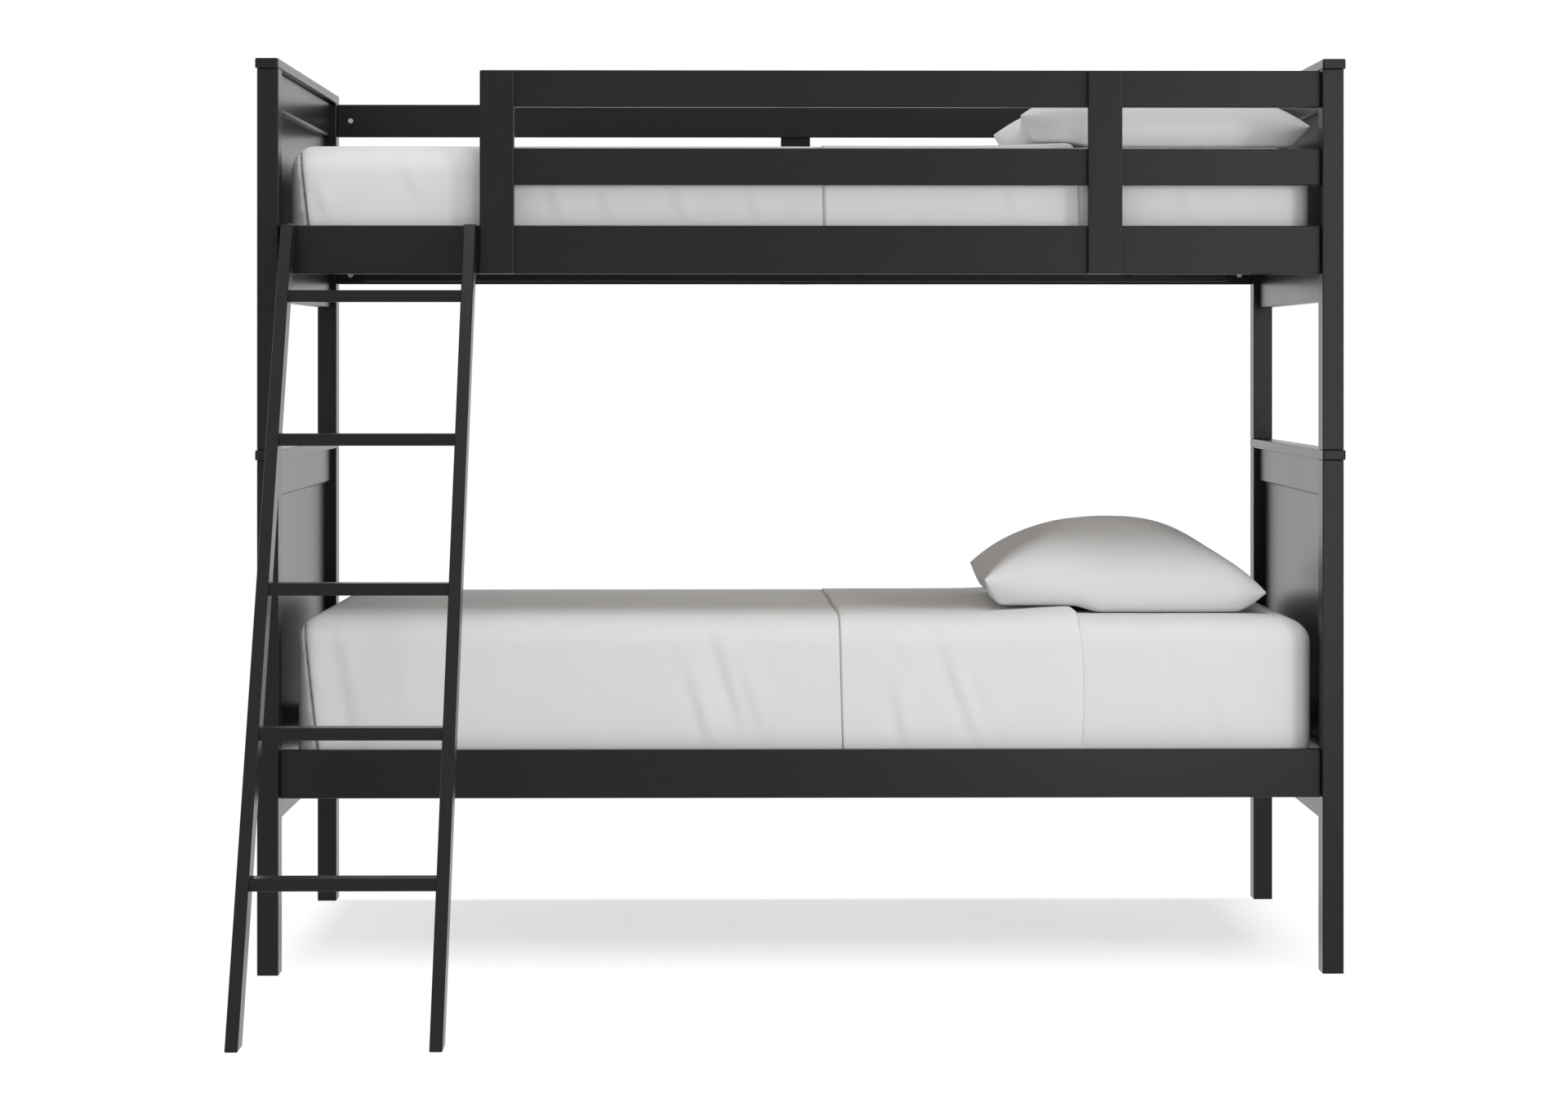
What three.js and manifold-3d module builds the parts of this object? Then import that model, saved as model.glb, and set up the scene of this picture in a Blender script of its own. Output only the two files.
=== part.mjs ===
/**
 * Bunk bed with a leaning ladder.
 *
 * Two twin beds of one build: frame-and-panel ends, side rails bolted between the posts, cleats that
 * carry a roll of slats, a mattress and a pillow. The upper bed stands on steel pins in the posts of the
 * lower one and has guard rails. The ladder leans on its front side rail and hooks over it.
 *
 * Millimetres, +Z up, +X towards the pillows, -Y towards the ladder. The origin is on the floor, in the
 * middle of the whole outline with the ladder in place. Beds are drawn about their own middle.
 */
import * as THREE from "three";
import { mergeVertices } from "three/addons/utils/BufferGeometryUtils.js";
import Module from "manifold-3d";

const wasm = await Module();
wasm.setup();

// ---------------------------------------------------------------- Driving dimensions

// Fits
const seatGap = 0.3; // left between pieces that meet

// Posts and outline of one bed
const bedLength = 2013; // over the outer faces of the posts
const bedDepth = 1080; // over their front and back faces
const postWidth = 39.5; // along the bed
const postDepth = 57; // across the bed
const lowerPostHeight = 953;
const upperPostHeight = 706.2;
const postEdge = 1.2; // rounding of the long edges and the ends

// Caps over each end
const capThickness = 19;
const capOverhang = 3.5; // past the outer faces of the posts
const capReach = 3; // past their front and back faces
const capEdge = 2.5;

// Frame-and-panel ends
const endRailThickness = 25;
const endRailSetback = 3; // from the outer faces of the posts
const topRailHeight = 70;
const bottomRailDrop = 49.5; // how far the bottom rail hangs below the side rails
const endRailEdge = 1.5;
const panelThickness = 5;
const panelChamfer = 4; // on the rail edges that frame the panel
const grooveDepth = 8;
const tenonThickness = 10;
const tenonLength = 15;
const tenonShoulder = 12;

// Side rails and their bolts
const sideRailHeight = 90;
const sideRailThickness = 20;
const sideRailSetback = 25; // behind the front faces of the posts
const lowerRailClearance = 325; // from the foot of the bed to the underside of its side rails
const upperRailClearance = 326.4;
const railEdge = 1.8;
const boltRadius = 3.3;
const boltSpacing = 50; // between the two bolts at each end of a side rail
const boltHeadRadius = 7;
const boltHeadRecess = 6;
const nutRadius = 6;
const nutInset = 28; // from the end of the rail
const nutDepth = 16;

// Slats
const cleatSize = 25;
const cleatLift = 5.5; // above the underside of the side rail
const cleatSetback = 55; // from the posts
const slatCount = 14;
const slatWidth = 68;
const slatThickness = 15;
const slatEdge = 2;
const slatEndGap = 3; // to the side rails
const webbingWidth = 25;
const webbingThickness = 1.6;
const webbingInset = 110; // from the ends of the slats

// Bedding
const lowerMattressThickness = 291;
const upperMattressThickness = 199;
const mattressSideGap = 4; // to the side rails
const mattressFootGap = 20; // to the left posts
const mattressHeadGap = 7; // to the right posts
const mattressCorner = 95; // rounding in plan
const mattressEdge = 70; // rounding of the top and bottom edges
const pillowLength = 660; // across the bed
const pillowWidth = 545;
const lowerPillowHeight = 168;
const upperPillowHeight = 148;
const lowerPillowGap = 68; // to the head end of the mattress
const upperPillowGap = 0;
const pillowForward = 67; // from the middle of the bed towards the ladder
const pillowCornerLift = 50;
const pillowSeam = 9; // thickness left at the sewn edge

// Pins that hold the upper bed on the lower one
const pinRadius = 4.75;
const pinLength = 76;
const pinChamfer = 1.2;
const pinFacets = 16;

// Guard rails of the upper bed
const guardRailHeight = 68.5;
const guardTopDrop = 1; // below the tops of the posts
const guardRailGap = 76.5; // between the two front rails
const guardBoardWidth = 63.5;
const guardBoardThickness = 19.7;
const guardBoardDrop = 1.5; // below the top of the guard rail
const headSlotLength = 371; // from the right posts to the right board
const backSupportWidth = 62;

// Ladder
const ladderWidth = 358.5; // over the outer faces of its rails
const ladderPostGap = 8.6; // from the left post to the ladder
const ladderBoardGap = 4.4; // from the ladder to the left guard board
const ladderLean = THREE.MathUtils.degToRad(29.27);
const ladderRailThickness = 22;
const ladderRailDepth = 60; // level, from front edge to back edge
const ladderEdge = 2;
const treadThickness = 21.7;
const treadDepth = 44;
const treadEdge = 1.2;
const treadHousing = 7; // how far a tread goes into the rails
const topTreadDrop = 122.2; // from the top of the ladder to its highest tread
const upperTreadStep = 259.3;
const lowerTreadStep = 241;
const stepsOfEachHeight = 2;
const hookThickness = 2.5;
const hookWidth = 12;
const hookPlateLength = 62; // down the back edge of the ladder rail
const hookReach = 26; // down behind the side rail

// ---------------------------------------------------------------- Places worked out from them

const innerLength = bedLength - 2 * postWidth;
const innerDepth = bedDepth - 2 * postDepth;
const postX = (bedLength - postWidth) / 2;
const postY = (bedDepth - postDepth) / 2;
const endRailX = (bedLength - endRailThickness) / 2 - endRailSetback;
const sideRailY = (bedDepth - sideRailThickness) / 2 - sideRailSetback;
const sideRailInnerY = sideRailY - sideRailThickness / 2;
const guardBoardY = sideRailY + sideRailThickness / 2 + seatGap + guardBoardThickness / 2;
const upperBase = lowerPostHeight + capThickness + 2 * seatGap;

const guardTop = upperPostHeight - guardTopDrop;
const guardRailZ = guardTop - guardRailHeight / 2;
const guardMiddleZ = guardRailZ - guardRailHeight - guardRailGap;
const guardLeftX = -innerLength / 2 + ladderPostGap + ladderWidth + ladderBoardGap;

const sideRailTop = upperBase + upperRailClearance + sideRailHeight;
const sideRailFrontY = -sideRailY - sideRailThickness / 2;
const ladderBackTopY = sideRailFrontY - (2 * seatGap + hookThickness) / Math.cos(ladderLean);
const ladderFrontTopY = ladderBackTopY - ladderRailDepth;
const ladderFootY = ladderFrontTopY - sideRailTop * Math.tan(ladderLean);
const ladderMiddleX = -innerLength / 2 + ladderPostGap + ladderWidth / 2;

const outlineBackY = bedDepth / 2 + capReach;
const outlineMiddleY = (outlineBackY + ladderFootY) / 2;

const ends = [
  { name: "left", sign: -1 },
  { name: "right", sign: 1 },
];
const sides = [
  { name: "front", sign: -1 },
  { name: "back", sign: 1 },
];

/** What differs between the two beds. Heights are from the foot of each bed. */
const lowerBed = {
  name: "lower",
  postHeight: lowerPostHeight,
  railClearance: lowerRailClearance,
  mattressThickness: lowerMattressThickness,
  pillowHeight: lowerPillowHeight,
  pillowGap: lowerPillowGap,
  pinBore: [lowerPostHeight - pinLength / 2 + capThickness + seatGap, lowerPostHeight + pinChamfer],
  capHasPinHoles: true,
  guardBoltHeights: () => [],
};
const upperBed = {
  name: "upper",
  postHeight: upperPostHeight,
  railClearance: upperRailClearance,
  mattressThickness: upperMattressThickness,
  pillowHeight: upperPillowHeight,
  pillowGap: upperPillowGap,
  pinBore: [-pinChamfer, pinLength / 2 + seatGap],
  capHasPinHoles: false,
  guardBoltHeights: upperGuardBoltHeights,
};

/** The front guard rails reach only the right post; the back one reaches both. */
function upperGuardBoltHeights(end, side) {
  if (side.name === "back") return [guardRailZ];
  return end.name === "right" ? [guardRailZ, guardMiddleZ] : [];
}

// ---------------------------------------------------------------- Materials

const blackPaint = new THREE.MeshStandardMaterial({ color: 0x2b2a29, roughness: 0.45, metalness: 0 });
const slatPine = new THREE.MeshStandardMaterial({ color: 0xc9a877, roughness: 0.7, metalness: 0 });
const whiteCotton = new THREE.MeshStandardMaterial({ color: 0xd9d8d6, roughness: 0.9, metalness: 0 });
const plainSteel = new THREE.MeshStandardMaterial({ color: 0x9a9a98, roughness: 0.35, metalness: 1 });
const yellowZinc = new THREE.MeshStandardMaterial({ color: 0xb09a5c, roughness: 0.4, metalness: 1 });

// ---------------------------------------------------------------- Shapes

/** A rectangle about the origin with rounded corners. */
function roundedRectangle(width, height, radius) {
  const right = width / 2;
  const top = height / 2;
  const shape = new THREE.Shape();
  shape.moveTo(right, radius - top);
  shape.absarc(right - radius, top - radius, radius, 0, Math.PI / 2);
  shape.absarc(radius - right, top - radius, radius, Math.PI / 2, Math.PI);
  shape.absarc(radius - right, radius - top, radius, Math.PI, 1.5 * Math.PI);
  shape.absarc(right - radius, radius - top, radius, 1.5 * Math.PI, 2 * Math.PI);
  return shape;
}

/** Extrudes a shape along Z about the middle of its thickness, with rounded rims inside its outline. */
function easedExtrusion(shape, thickness, rim, rimSteps = 2, arcSteps = 1) {
  const depth = thickness - 2 * rim;
  const geometry = new THREE.ExtrudeGeometry(shape, {
    depth,
    bevelThickness: rim,
    bevelSize: rim,
    bevelOffset: -rim,
    bevelSegments: rimSteps,
    curveSegments: arcSteps,
  });
  return geometry.translate(0, 0, -depth / 2);
}

/** A board of the given size along X, Y and thickness Z, with all edges eased. */
function board(sizeX, sizeY, thickness, edge) {
  const cornerRadius = 1.5 * edge;
  return easedExtrusion(roundedRectangle(sizeX, sizeY, cornerRadius), thickness, edge);
}

/** A board that stands on its long edge: length along X, height along Z, thickness along Y. */
function standingBoard(length, height, thickness, edge) {
  return board(length, height, thickness, edge).rotateX(Math.PI / 2);
}

/** Turns a solid whose outline was drawn as (Y, Z) so that its thickness lies along X. */
function drawnFromTheSide(geometry) {
  const yAxis = new THREE.Vector3(0, 1, 0);
  const zAxis = new THREE.Vector3(0, 0, 1);
  const xAxis = new THREE.Vector3(1, 0, 0);
  return geometry.applyMatrix4(new THREE.Matrix4().makeBasis(yAxis, zAxis, xAxis));
}

/** A plain block between two X, two Y and two Z values, in either order. */
function block([x0, x1], [y0, y1], [z0, z1]) {
  const box = new THREE.BoxGeometry(Math.abs(x1 - x0), Math.abs(y1 - y0), Math.abs(z1 - z0));
  return box.translate((x0 + x1) / 2, (y0 + y1) / 2, (z0 + z1) / 2);
}

/** A round rod between two points. */
function rod(radius, from, to, facets = 10) {
  const start = new THREE.Vector3(...from);
  const run = new THREE.Vector3(...to).sub(start);
  const geometry = new THREE.CylinderGeometry(radius, radius, run.length(), facets);
  const turn = new THREE.Quaternion().setFromUnitVectors(THREE.Object3D.DEFAULT_UP, run.clone().normalize());
  geometry.applyQuaternion(turn);
  const middle = start.addScaledVector(run, 0.5);
  return geometry.translate(middle.x, middle.y, middle.z);
}

/** The outline of a strip bent along a run of points, mitred at each bend. */
function bentStrip(points, thickness) {
  const normals = points.slice(1).map((point, index) => {
    const along = point.clone().sub(points[index]).normalize();
    return new THREE.Vector2(-along.y, along.x);
  });
  const offsets = points.map((_, index) => {
    const before = normals[Math.max(index - 1, 0)];
    const after = normals[Math.min(index, normals.length - 1)];
    const stretch = (thickness / 2) / (1 + before.dot(after));
    return before.clone().add(after).multiplyScalar(stretch);
  });
  const oneSide = points.map((point, index) => point.clone().add(offsets[index]));
  const otherSide = points.map((point, index) => point.clone().sub(offsets[index]));
  return new THREE.Shape([...oneSide, ...otherSide.reverse()]);
}

// ---------------------------------------------------------------- Boolean cuts and joins

function toSolid(geometry) {
  const bare = geometry.clone();
  bare.deleteAttribute("normal");
  bare.deleteAttribute("uv");
  const merged = mergeVertices(bare);
  return new wasm.Manifold(new wasm.Mesh({
    numProp: 3,
    vertProperties: merged.attributes.position.array,
    triVerts: Uint32Array.from(merged.index.array),
  }));
}

function toGeometry(solid) {
  const mesh = solid.getMesh();
  const geometry = new THREE.BufferGeometry();
  geometry.setAttribute("position", new THREE.BufferAttribute(mesh.vertProperties, 3));
  geometry.setIndex(new THREE.BufferAttribute(mesh.triVerts, 1));
  return geometry;
}

function cut(geometry, cutters) {
  return toGeometry(cutters.reduce((solid, cutter) => solid.subtract(toSolid(cutter)), toSolid(geometry)));
}

function join(geometries) {
  return toGeometry(geometries.map(toSolid).reduce((solid, piece) => solid.add(piece)));
}

/** Adds a named piece to a group, at a place in that group. */
function place(group, name, geometry, material, x, y, z) {
  const mesh = new THREE.Mesh(geometry, material);
  mesh.name = name;
  mesh.position.set(x, y, z);
  group.add(mesh);
}

// ---------------------------------------------------------------- Posts, caps and ends

/** Heights of the two rails of an end, from the foot of the bed. */
function endRailSpans(bed) {
  return {
    top: [bed.postHeight - topRailHeight, bed.postHeight],
    bottom: [bed.railClearance - bottomRailDrop, bed.railClearance + sideRailHeight],
  };
}

function sideBoltHeights(bed) {
  const middle = bed.railClearance + sideRailHeight / 2;
  return [middle - boltSpacing / 2, middle + boltSpacing / 2];
}

/** A post, drawn about its own axis with its foot at zero. */
function makePost(bed, end, side) {
  const spans = endRailSpans(bed);
  const innerFaceY = (-side.sign * postDepth) / 2;
  const outerFaceX = (end.sign * postWidth) / 2;
  const railX = end.sign * (endRailX - postX);
  const boltY = side.sign * (sideRailY - postY);
  const clearOfFace = 1; // cutters start this far outside the wood

  const cutters = Object.values(spans).map(([low, high]) => block(
    [railX - tenonThickness / 2 - seatGap, railX + tenonThickness / 2 + seatGap],
    [innerFaceY - side.sign * clearOfFace, innerFaceY + side.sign * (tenonLength + seatGap)],
    [low + tenonShoulder - seatGap, high - tenonShoulder + seatGap],
  ));
  cutters.push(block(
    [railX - panelThickness / 2 - seatGap, railX + panelThickness / 2 + seatGap],
    [innerFaceY - side.sign * clearOfFace, innerFaceY + side.sign * grooveDepth],
    [spans.bottom[1] - tenonShoulder, spans.top[0] + tenonShoulder],
  ));
  const [boreLow, boreHigh] = bed.pinBore;
  cutters.push(rod(pinRadius + seatGap, [0, 0, boreLow], [0, 0, boreHigh], pinFacets));
  for (const height of [...sideBoltHeights(bed), ...bed.guardBoltHeights(end, side)]) {
    const recessX = outerFaceX - end.sign * boltHeadRecess;
    const outsideX = outerFaceX + end.sign * clearOfFace;
    cutters.push(rod(boltRadius, [-outsideX, boltY, height], [outsideX, boltY, height]));
    cutters.push(rod(boltHeadRadius, [recessX, boltY, height], [outsideX, boltY, height]));
  }
  const blank = board(postWidth, postDepth, bed.postHeight, postEdge);
  return cut(blank.translate(0, 0, bed.postHeight / 2), cutters);
}

/** The cap over both posts and the top rail of an end, drawn about its middle. */
function makeCap(bed, end) {
  const blank = board(postWidth + capOverhang, bedDepth + 2 * capReach, capThickness, capEdge);
  if (!bed.capHasPinHoles) return blank;
  const pinX = (-end.sign * capOverhang) / 2;
  return cut(blank, sides.map((side) => rod(
    pinRadius + seatGap,
    [pinX, side.sign * postY, -capThickness],
    [pinX, side.sign * postY, capThickness],
    pinFacets,
  )));
}

/** A rail of an end, drawn about its middle, with the panel groove and tenons; the groove faces down. */
function makeEndRail(height) {
  const halfWidth = endRailThickness / 2;
  const halfHeight = height / 2;
  const halfGroove = panelThickness / 2 + seatGap;
  const profile = new THREE.Shape();
  profile.moveTo(halfGroove, -halfHeight);
  profile.lineTo(halfWidth - panelChamfer, -halfHeight);
  profile.lineTo(halfWidth, panelChamfer - halfHeight);
  profile.lineTo(halfWidth, halfHeight - endRailEdge);
  profile.lineTo(halfWidth - endRailEdge, halfHeight);
  profile.lineTo(endRailEdge - halfWidth, halfHeight);
  profile.lineTo(-halfWidth, halfHeight - endRailEdge);
  profile.lineTo(-halfWidth, panelChamfer - halfHeight);
  profile.lineTo(panelChamfer - halfWidth, -halfHeight);
  profile.lineTo(-halfGroove, -halfHeight);
  profile.lineTo(-halfGroove, grooveDepth - halfHeight);
  profile.lineTo(halfGroove, grooveDepth - halfHeight);

  const shoulder = innerDepth / 2 - seatGap;
  const bar = new THREE.ExtrudeGeometry(profile, { depth: 2 * shoulder, bevelEnabled: false });
  bar.translate(0, 0, -shoulder).rotateX(Math.PI / 2);
  const tenons = block(
    [-tenonThickness / 2, tenonThickness / 2],
    [-innerDepth / 2 - tenonLength, innerDepth / 2 + tenonLength],
    [tenonShoulder - halfHeight, halfHeight - tenonShoulder],
  );
  return join([bar, tenons]);
}

function addEnd(group, bed, end) {
  const spans = endRailSpans(bed);
  for (const side of sides) {
    const name = `${bed.name}_post_${side.name}_${end.name}`;
    place(group, name, makePost(bed, end, side), blackPaint, end.sign * postX, side.sign * postY, 0);
  }
  const capX = end.sign * (postX + capOverhang / 2);
  const capZ = bed.postHeight + seatGap + capThickness / 2;
  place(group, `${bed.name}_cap_${end.name}`, makeCap(bed, end), blackPaint, capX, 0, capZ);

  const railX = end.sign * endRailX;
  const topHeight = spans.top[1] - spans.top[0];
  const topZ = (spans.top[0] + spans.top[1]) / 2;
  const topRail = makeEndRail(topHeight);
  place(group, `${bed.name}_end_top_rail_${end.name}`, topRail, blackPaint, railX, 0, topZ);

  const bottomHeight = spans.bottom[1] - spans.bottom[0];
  const bottomZ = (spans.bottom[0] + spans.bottom[1]) / 2;
  const bottomRail = makeEndRail(bottomHeight).rotateY(Math.PI);
  place(group, `${bed.name}_end_bottom_rail_${end.name}`, bottomRail, blackPaint, railX, 0, bottomZ);

  const panelReach = grooveDepth - seatGap;
  const panelHeight = spans.top[0] - spans.bottom[1] + 2 * panelReach;
  const panelZ = (spans.top[0] + spans.bottom[1]) / 2;
  const panel = new THREE.BoxGeometry(panelThickness, innerDepth + 2 * panelReach, panelHeight);
  place(group, `${bed.name}_end_panel_${end.name}`, panel, blackPaint, railX, 0, panelZ);
}

// ---------------------------------------------------------------- Side rails, cleats and slats

/**
 * A board that is bolted to posts: length along X, with a bolt hole and a barrel-nut pocket at each of
 * the given ends and heights. The pockets open on the face towards the middle of the bed.
 */
function makeBoltedRail(length, height, side, boltEnds, boltHeights) {
  const innerFaceY = (-side.sign * sideRailThickness) / 2;
  const pocketFloorY = innerFaceY + side.sign * nutDepth;
  const cutters = [];
  for (const end of boltEnds) {
    const endX = (end.sign * length) / 2;
    const nutX = endX - end.sign * nutInset;
    for (const z of boltHeights) {
      cutters.push(rod(nutRadius, [nutX, -innerFaceY - side.sign * height, z], [nutX, pocketFloorY, z]));
      cutters.push(rod(boltRadius, [endX + end.sign, 0, z], [nutX - end.sign * 2 * nutRadius, 0, z]));
    }
  }
  return cut(standingBoard(length, height, sideRailThickness, railEdge), cutters);
}

function addSide(group, bed, side) {
  const railLength = innerLength - 2 * seatGap;
  const bolts = [-boltSpacing / 2, boltSpacing / 2];
  const rail = makeBoltedRail(railLength, sideRailHeight, side, ends, bolts);
  const railZ = bed.railClearance + sideRailHeight / 2;
  place(group, `${bed.name}_side_rail_${side.name}`, rail, blackPaint, 0, side.sign * sideRailY, railZ);

  const cleat = standingBoard(innerLength - 2 * cleatSetback, cleatSize, cleatSize, railEdge);
  const cleatY = side.sign * (sideRailInnerY - seatGap - cleatSize / 2);
  const cleatZ = bed.railClearance + cleatLift + cleatSize / 2;
  place(group, `${bed.name}_cleat_${side.name}`, cleat, blackPaint, 0, cleatY, cleatZ);
}

/** Slats joined by two webbing straps on their undersides, drawn with the slats' undersides at zero. */
function makeSlatRoll() {
  const slatLength = 2 * (sideRailInnerY - slatEndGap);
  const lastSlatX = innerLength / 2 - cleatSetback - slatWidth / 2;
  const pitch = (2 * lastSlatX) / (slatCount - 1);
  const section = roundedRectangle(slatWidth, slatThickness, slatEdge);
  const pieces = Array.from({ length: slatCount }, (_, index) => {
    const slat = new THREE.ExtrudeGeometry(section, { depth: slatLength, bevelEnabled: false, curveSegments: 1 });
    slat.translate(0, 0, -slatLength / 2).rotateX(Math.PI / 2);
    return slat.translate(index * pitch - lastSlatX, 0, slatThickness / 2);
  });
  const strapX = lastSlatX + slatWidth / 2 - 2 * slatEdge;
  for (const side of sides) {
    const strapY = side.sign * (slatLength / 2 - webbingInset);
    pieces.push(block(
      [-strapX, strapX],
      [strapY - webbingWidth / 2, strapY + webbingWidth / 2],
      [-webbingThickness, slatThickness / 4],
    ));
  }
  return join(pieces);
}

// ---------------------------------------------------------------- Bedding

function makeMattress(thickness) {
  const length = innerLength - mattressFootGap - mattressHeadGap;
  const width = 2 * (sideRailInnerY - mattressSideGap);
  return easedExtrusion(roundedRectangle(length, width, mattressCorner), thickness, mattressEdge, 3, 2);
}

/** A pillow that rests on zero: its corners stand up, its sides pull in between them, its top is crowned. */
function makePillow(height) {
  const steps = 10;
  const sidePull = 0.07;
  const geometry = new THREE.BoxGeometry(2, 2, 2, steps, steps, 1);
  const points = geometry.attributes.position;
  for (let index = 0; index < points.count; index += 1) {
    const u = points.getX(index);
    const v = points.getY(index);
    const fullness = (1 - u * u) * (1 - v * v);
    const underside = pillowCornerLift * Math.abs(u * v) ** 5;
    const crown = pillowSeam + (height - pillowSeam) * fullness ** 0.45;
    const z = points.getZ(index) < 0 ? underside : underside + crown;
    const x = (pillowWidth / 2) * u * (1 - sidePull * (1 - v * v));
    const y = (pillowLength / 2) * v * (1 - sidePull * (1 - u * u));
    points.setXYZ(index, x, y, z);
  }
  return geometry;
}

function addBedding(group, bed) {
  const slatZ = bed.railClearance + cleatLift + cleatSize + seatGap;
  place(group, `${bed.name}_slat_roll`, makeSlatRoll(), slatPine, 0, 0, slatZ);

  const mattressX = (mattressFootGap - mattressHeadGap) / 2;
  const mattressBottom = slatZ + slatThickness + seatGap;
  const mattressZ = mattressBottom + bed.mattressThickness / 2;
  const mattress = makeMattress(bed.mattressThickness);
  place(group, `${bed.name}_mattress`, mattress, whiteCotton, mattressX, 0, mattressZ);

  const pillowX = innerLength / 2 - mattressHeadGap - bed.pillowGap - pillowWidth / 2;
  const pillowZ = mattressBottom + bed.mattressThickness + seatGap;
  const pillow = makePillow(bed.pillowHeight);
  place(group, `${bed.name}_pillow`, pillow, whiteCotton, pillowX, -pillowForward, pillowZ);
}

function makeBed(bed) {
  const group = new THREE.Group();
  for (const end of ends) addEnd(group, bed, end);
  for (const side of sides) addSide(group, bed, side);
  addBedding(group, bed);
  return group;
}

// ---------------------------------------------------------------- Pins between the beds

function makePin() {
  const half = pinLength / 2;
  const profile = [
    new THREE.Vector2(0, -half),
    new THREE.Vector2(pinRadius - pinChamfer, -half),
    new THREE.Vector2(pinRadius, pinChamfer - half),
    new THREE.Vector2(pinRadius, half - pinChamfer),
    new THREE.Vector2(pinRadius - pinChamfer, half),
    new THREE.Vector2(0, half),
  ];
  return new THREE.LatheGeometry(profile, pinFacets).rotateX(Math.PI / 2);
}

function addPins(group) {
  const jointZ = upperBase - seatGap / 2;
  for (const end of ends) {
    for (const side of sides) {
      const name = `bunk_pin_${side.name}_${end.name}`;
      place(group, name, makePin(), plainSteel, end.sign * postX, side.sign * postY, jointZ);
    }
  }
}

// ---------------------------------------------------------------- Guard rails

function addGuards(group) {
  const [front, back] = sides;
  const rightPostX = innerLength / 2 - seatGap;
  const frontLength = rightPostX - guardLeftX;
  const frontX = (rightPostX + guardLeftX) / 2;
  const rightEnd = ends.filter((end) => end.name === "right");
  const frontRails = { guard_top_rail_front: guardRailZ, guard_middle_rail_front: guardMiddleZ };
  for (const [name, z] of Object.entries(frontRails)) {
    const rail = makeBoltedRail(frontLength, guardRailHeight, front, rightEnd, [0]);
    place(group, name, rail, blackPaint, frontX, front.sign * sideRailY, z);
  }
  const backRail = makeBoltedRail(innerLength - 2 * seatGap, guardRailHeight, back, ends, [0]);
  place(group, "guard_rail_back", backRail, blackPaint, 0, back.sign * sideRailY, guardRailZ);

  const uprightTop = guardTop - guardBoardDrop;
  const uprightHeight = uprightTop - upperRailClearance;
  const uprightZ = uprightTop - uprightHeight / 2;
  const leftX = guardLeftX + guardBoardWidth / 2;
  const rightX = innerLength / 2 - headSlotLength - guardBoardWidth / 2;
  const uprights = [
    { name: "guard_board_left", width: guardBoardWidth, x: leftX, side: front },
    { name: "guard_board_right", width: guardBoardWidth, x: rightX, side: front },
    { name: "guard_support_back", width: backSupportWidth, x: 0, side: back },
  ];
  for (const { name, width, x, side } of uprights) {
    const upright = standingBoard(width, uprightHeight, guardBoardThickness, railEdge);
    place(group, name, upright, blackPaint, x, side.sign * guardBoardY, uprightZ);
  }
}

// ---------------------------------------------------------------- Ladder

/** Y of the middle of the ladder rails at a height above the floor. */
function ladderY(height) {
  return ladderFootY + height * Math.tan(ladderLean) + ladderRailDepth / 2;
}

/** Heights of the middles of the treads above the floor, from the lowest to the highest. */
function treadHeights() {
  const heights = [sideRailTop - topTreadDrop - treadThickness / 2];
  for (const step of [upperTreadStep, lowerTreadStep]) {
    for (let count = 0; count < stepsOfEachHeight; count += 1) heights.unshift(heights[0] - step);
  }
  return heights;
}

/** A leaning rail with level feet and housings for the treads, drawn about X = 0. */
function makeLadderRail(end) {
  const outline = new THREE.Shape([
    new THREE.Vector2(ladderFootY, 0),
    new THREE.Vector2(ladderFootY + ladderRailDepth, 0),
    new THREE.Vector2(ladderBackTopY, sideRailTop),
    new THREE.Vector2(ladderFrontTopY, sideRailTop),
  ]);
  const innerFaceX = (-end.sign * ladderRailThickness) / 2;
  const clearOfFace = 1;
  const housings = treadHeights().map((height) => {
    const halfDepth = treadDepth / 2 + seatGap;
    const halfThickness = treadThickness / 2 + seatGap;
    return block(
      [innerFaceX - end.sign * clearOfFace, innerFaceX + end.sign * (treadHousing + seatGap)],
      [ladderY(height) - halfDepth, ladderY(height) + halfDepth],
      [height - halfThickness, height + halfThickness],
    );
  });
  const blank = drawnFromTheSide(easedExtrusion(outline, ladderRailThickness, ladderEdge));
  return cut(blank, housings);
}

/** A steel strip that lies on the back edge of a ladder rail and bends over the bed's side rail. */
function makeHook() {
  const half = hookThickness / 2;
  const run = new THREE.Vector2(Math.sin(ladderLean), Math.cos(ladderLean));
  const plateOffset = (seatGap + half) / Math.cos(ladderLean);
  const overRailZ = sideRailTop + seatGap + half;
  const bend = new THREE.Vector2(ladderBackTopY + plateOffset, sideRailTop);
  bend.addScaledVector(run, (overRailZ - sideRailTop) / run.y);
  const plateEnd = bend.clone().addScaledVector(run, -hookPlateLength);
  const behindRailY = -sideRailInnerY + seatGap + half;
  const corner = new THREE.Vector2(behindRailY, overRailZ);
  const tip = new THREE.Vector2(behindRailY, sideRailTop - hookReach);
  const outline = bentStrip([plateEnd, bend, corner, tip], hookThickness);
  const strip = new THREE.ExtrudeGeometry(outline, { depth: hookWidth, bevelEnabled: false });
  return drawnFromTheSide(strip.translate(0, 0, -hookWidth / 2));
}

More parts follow.
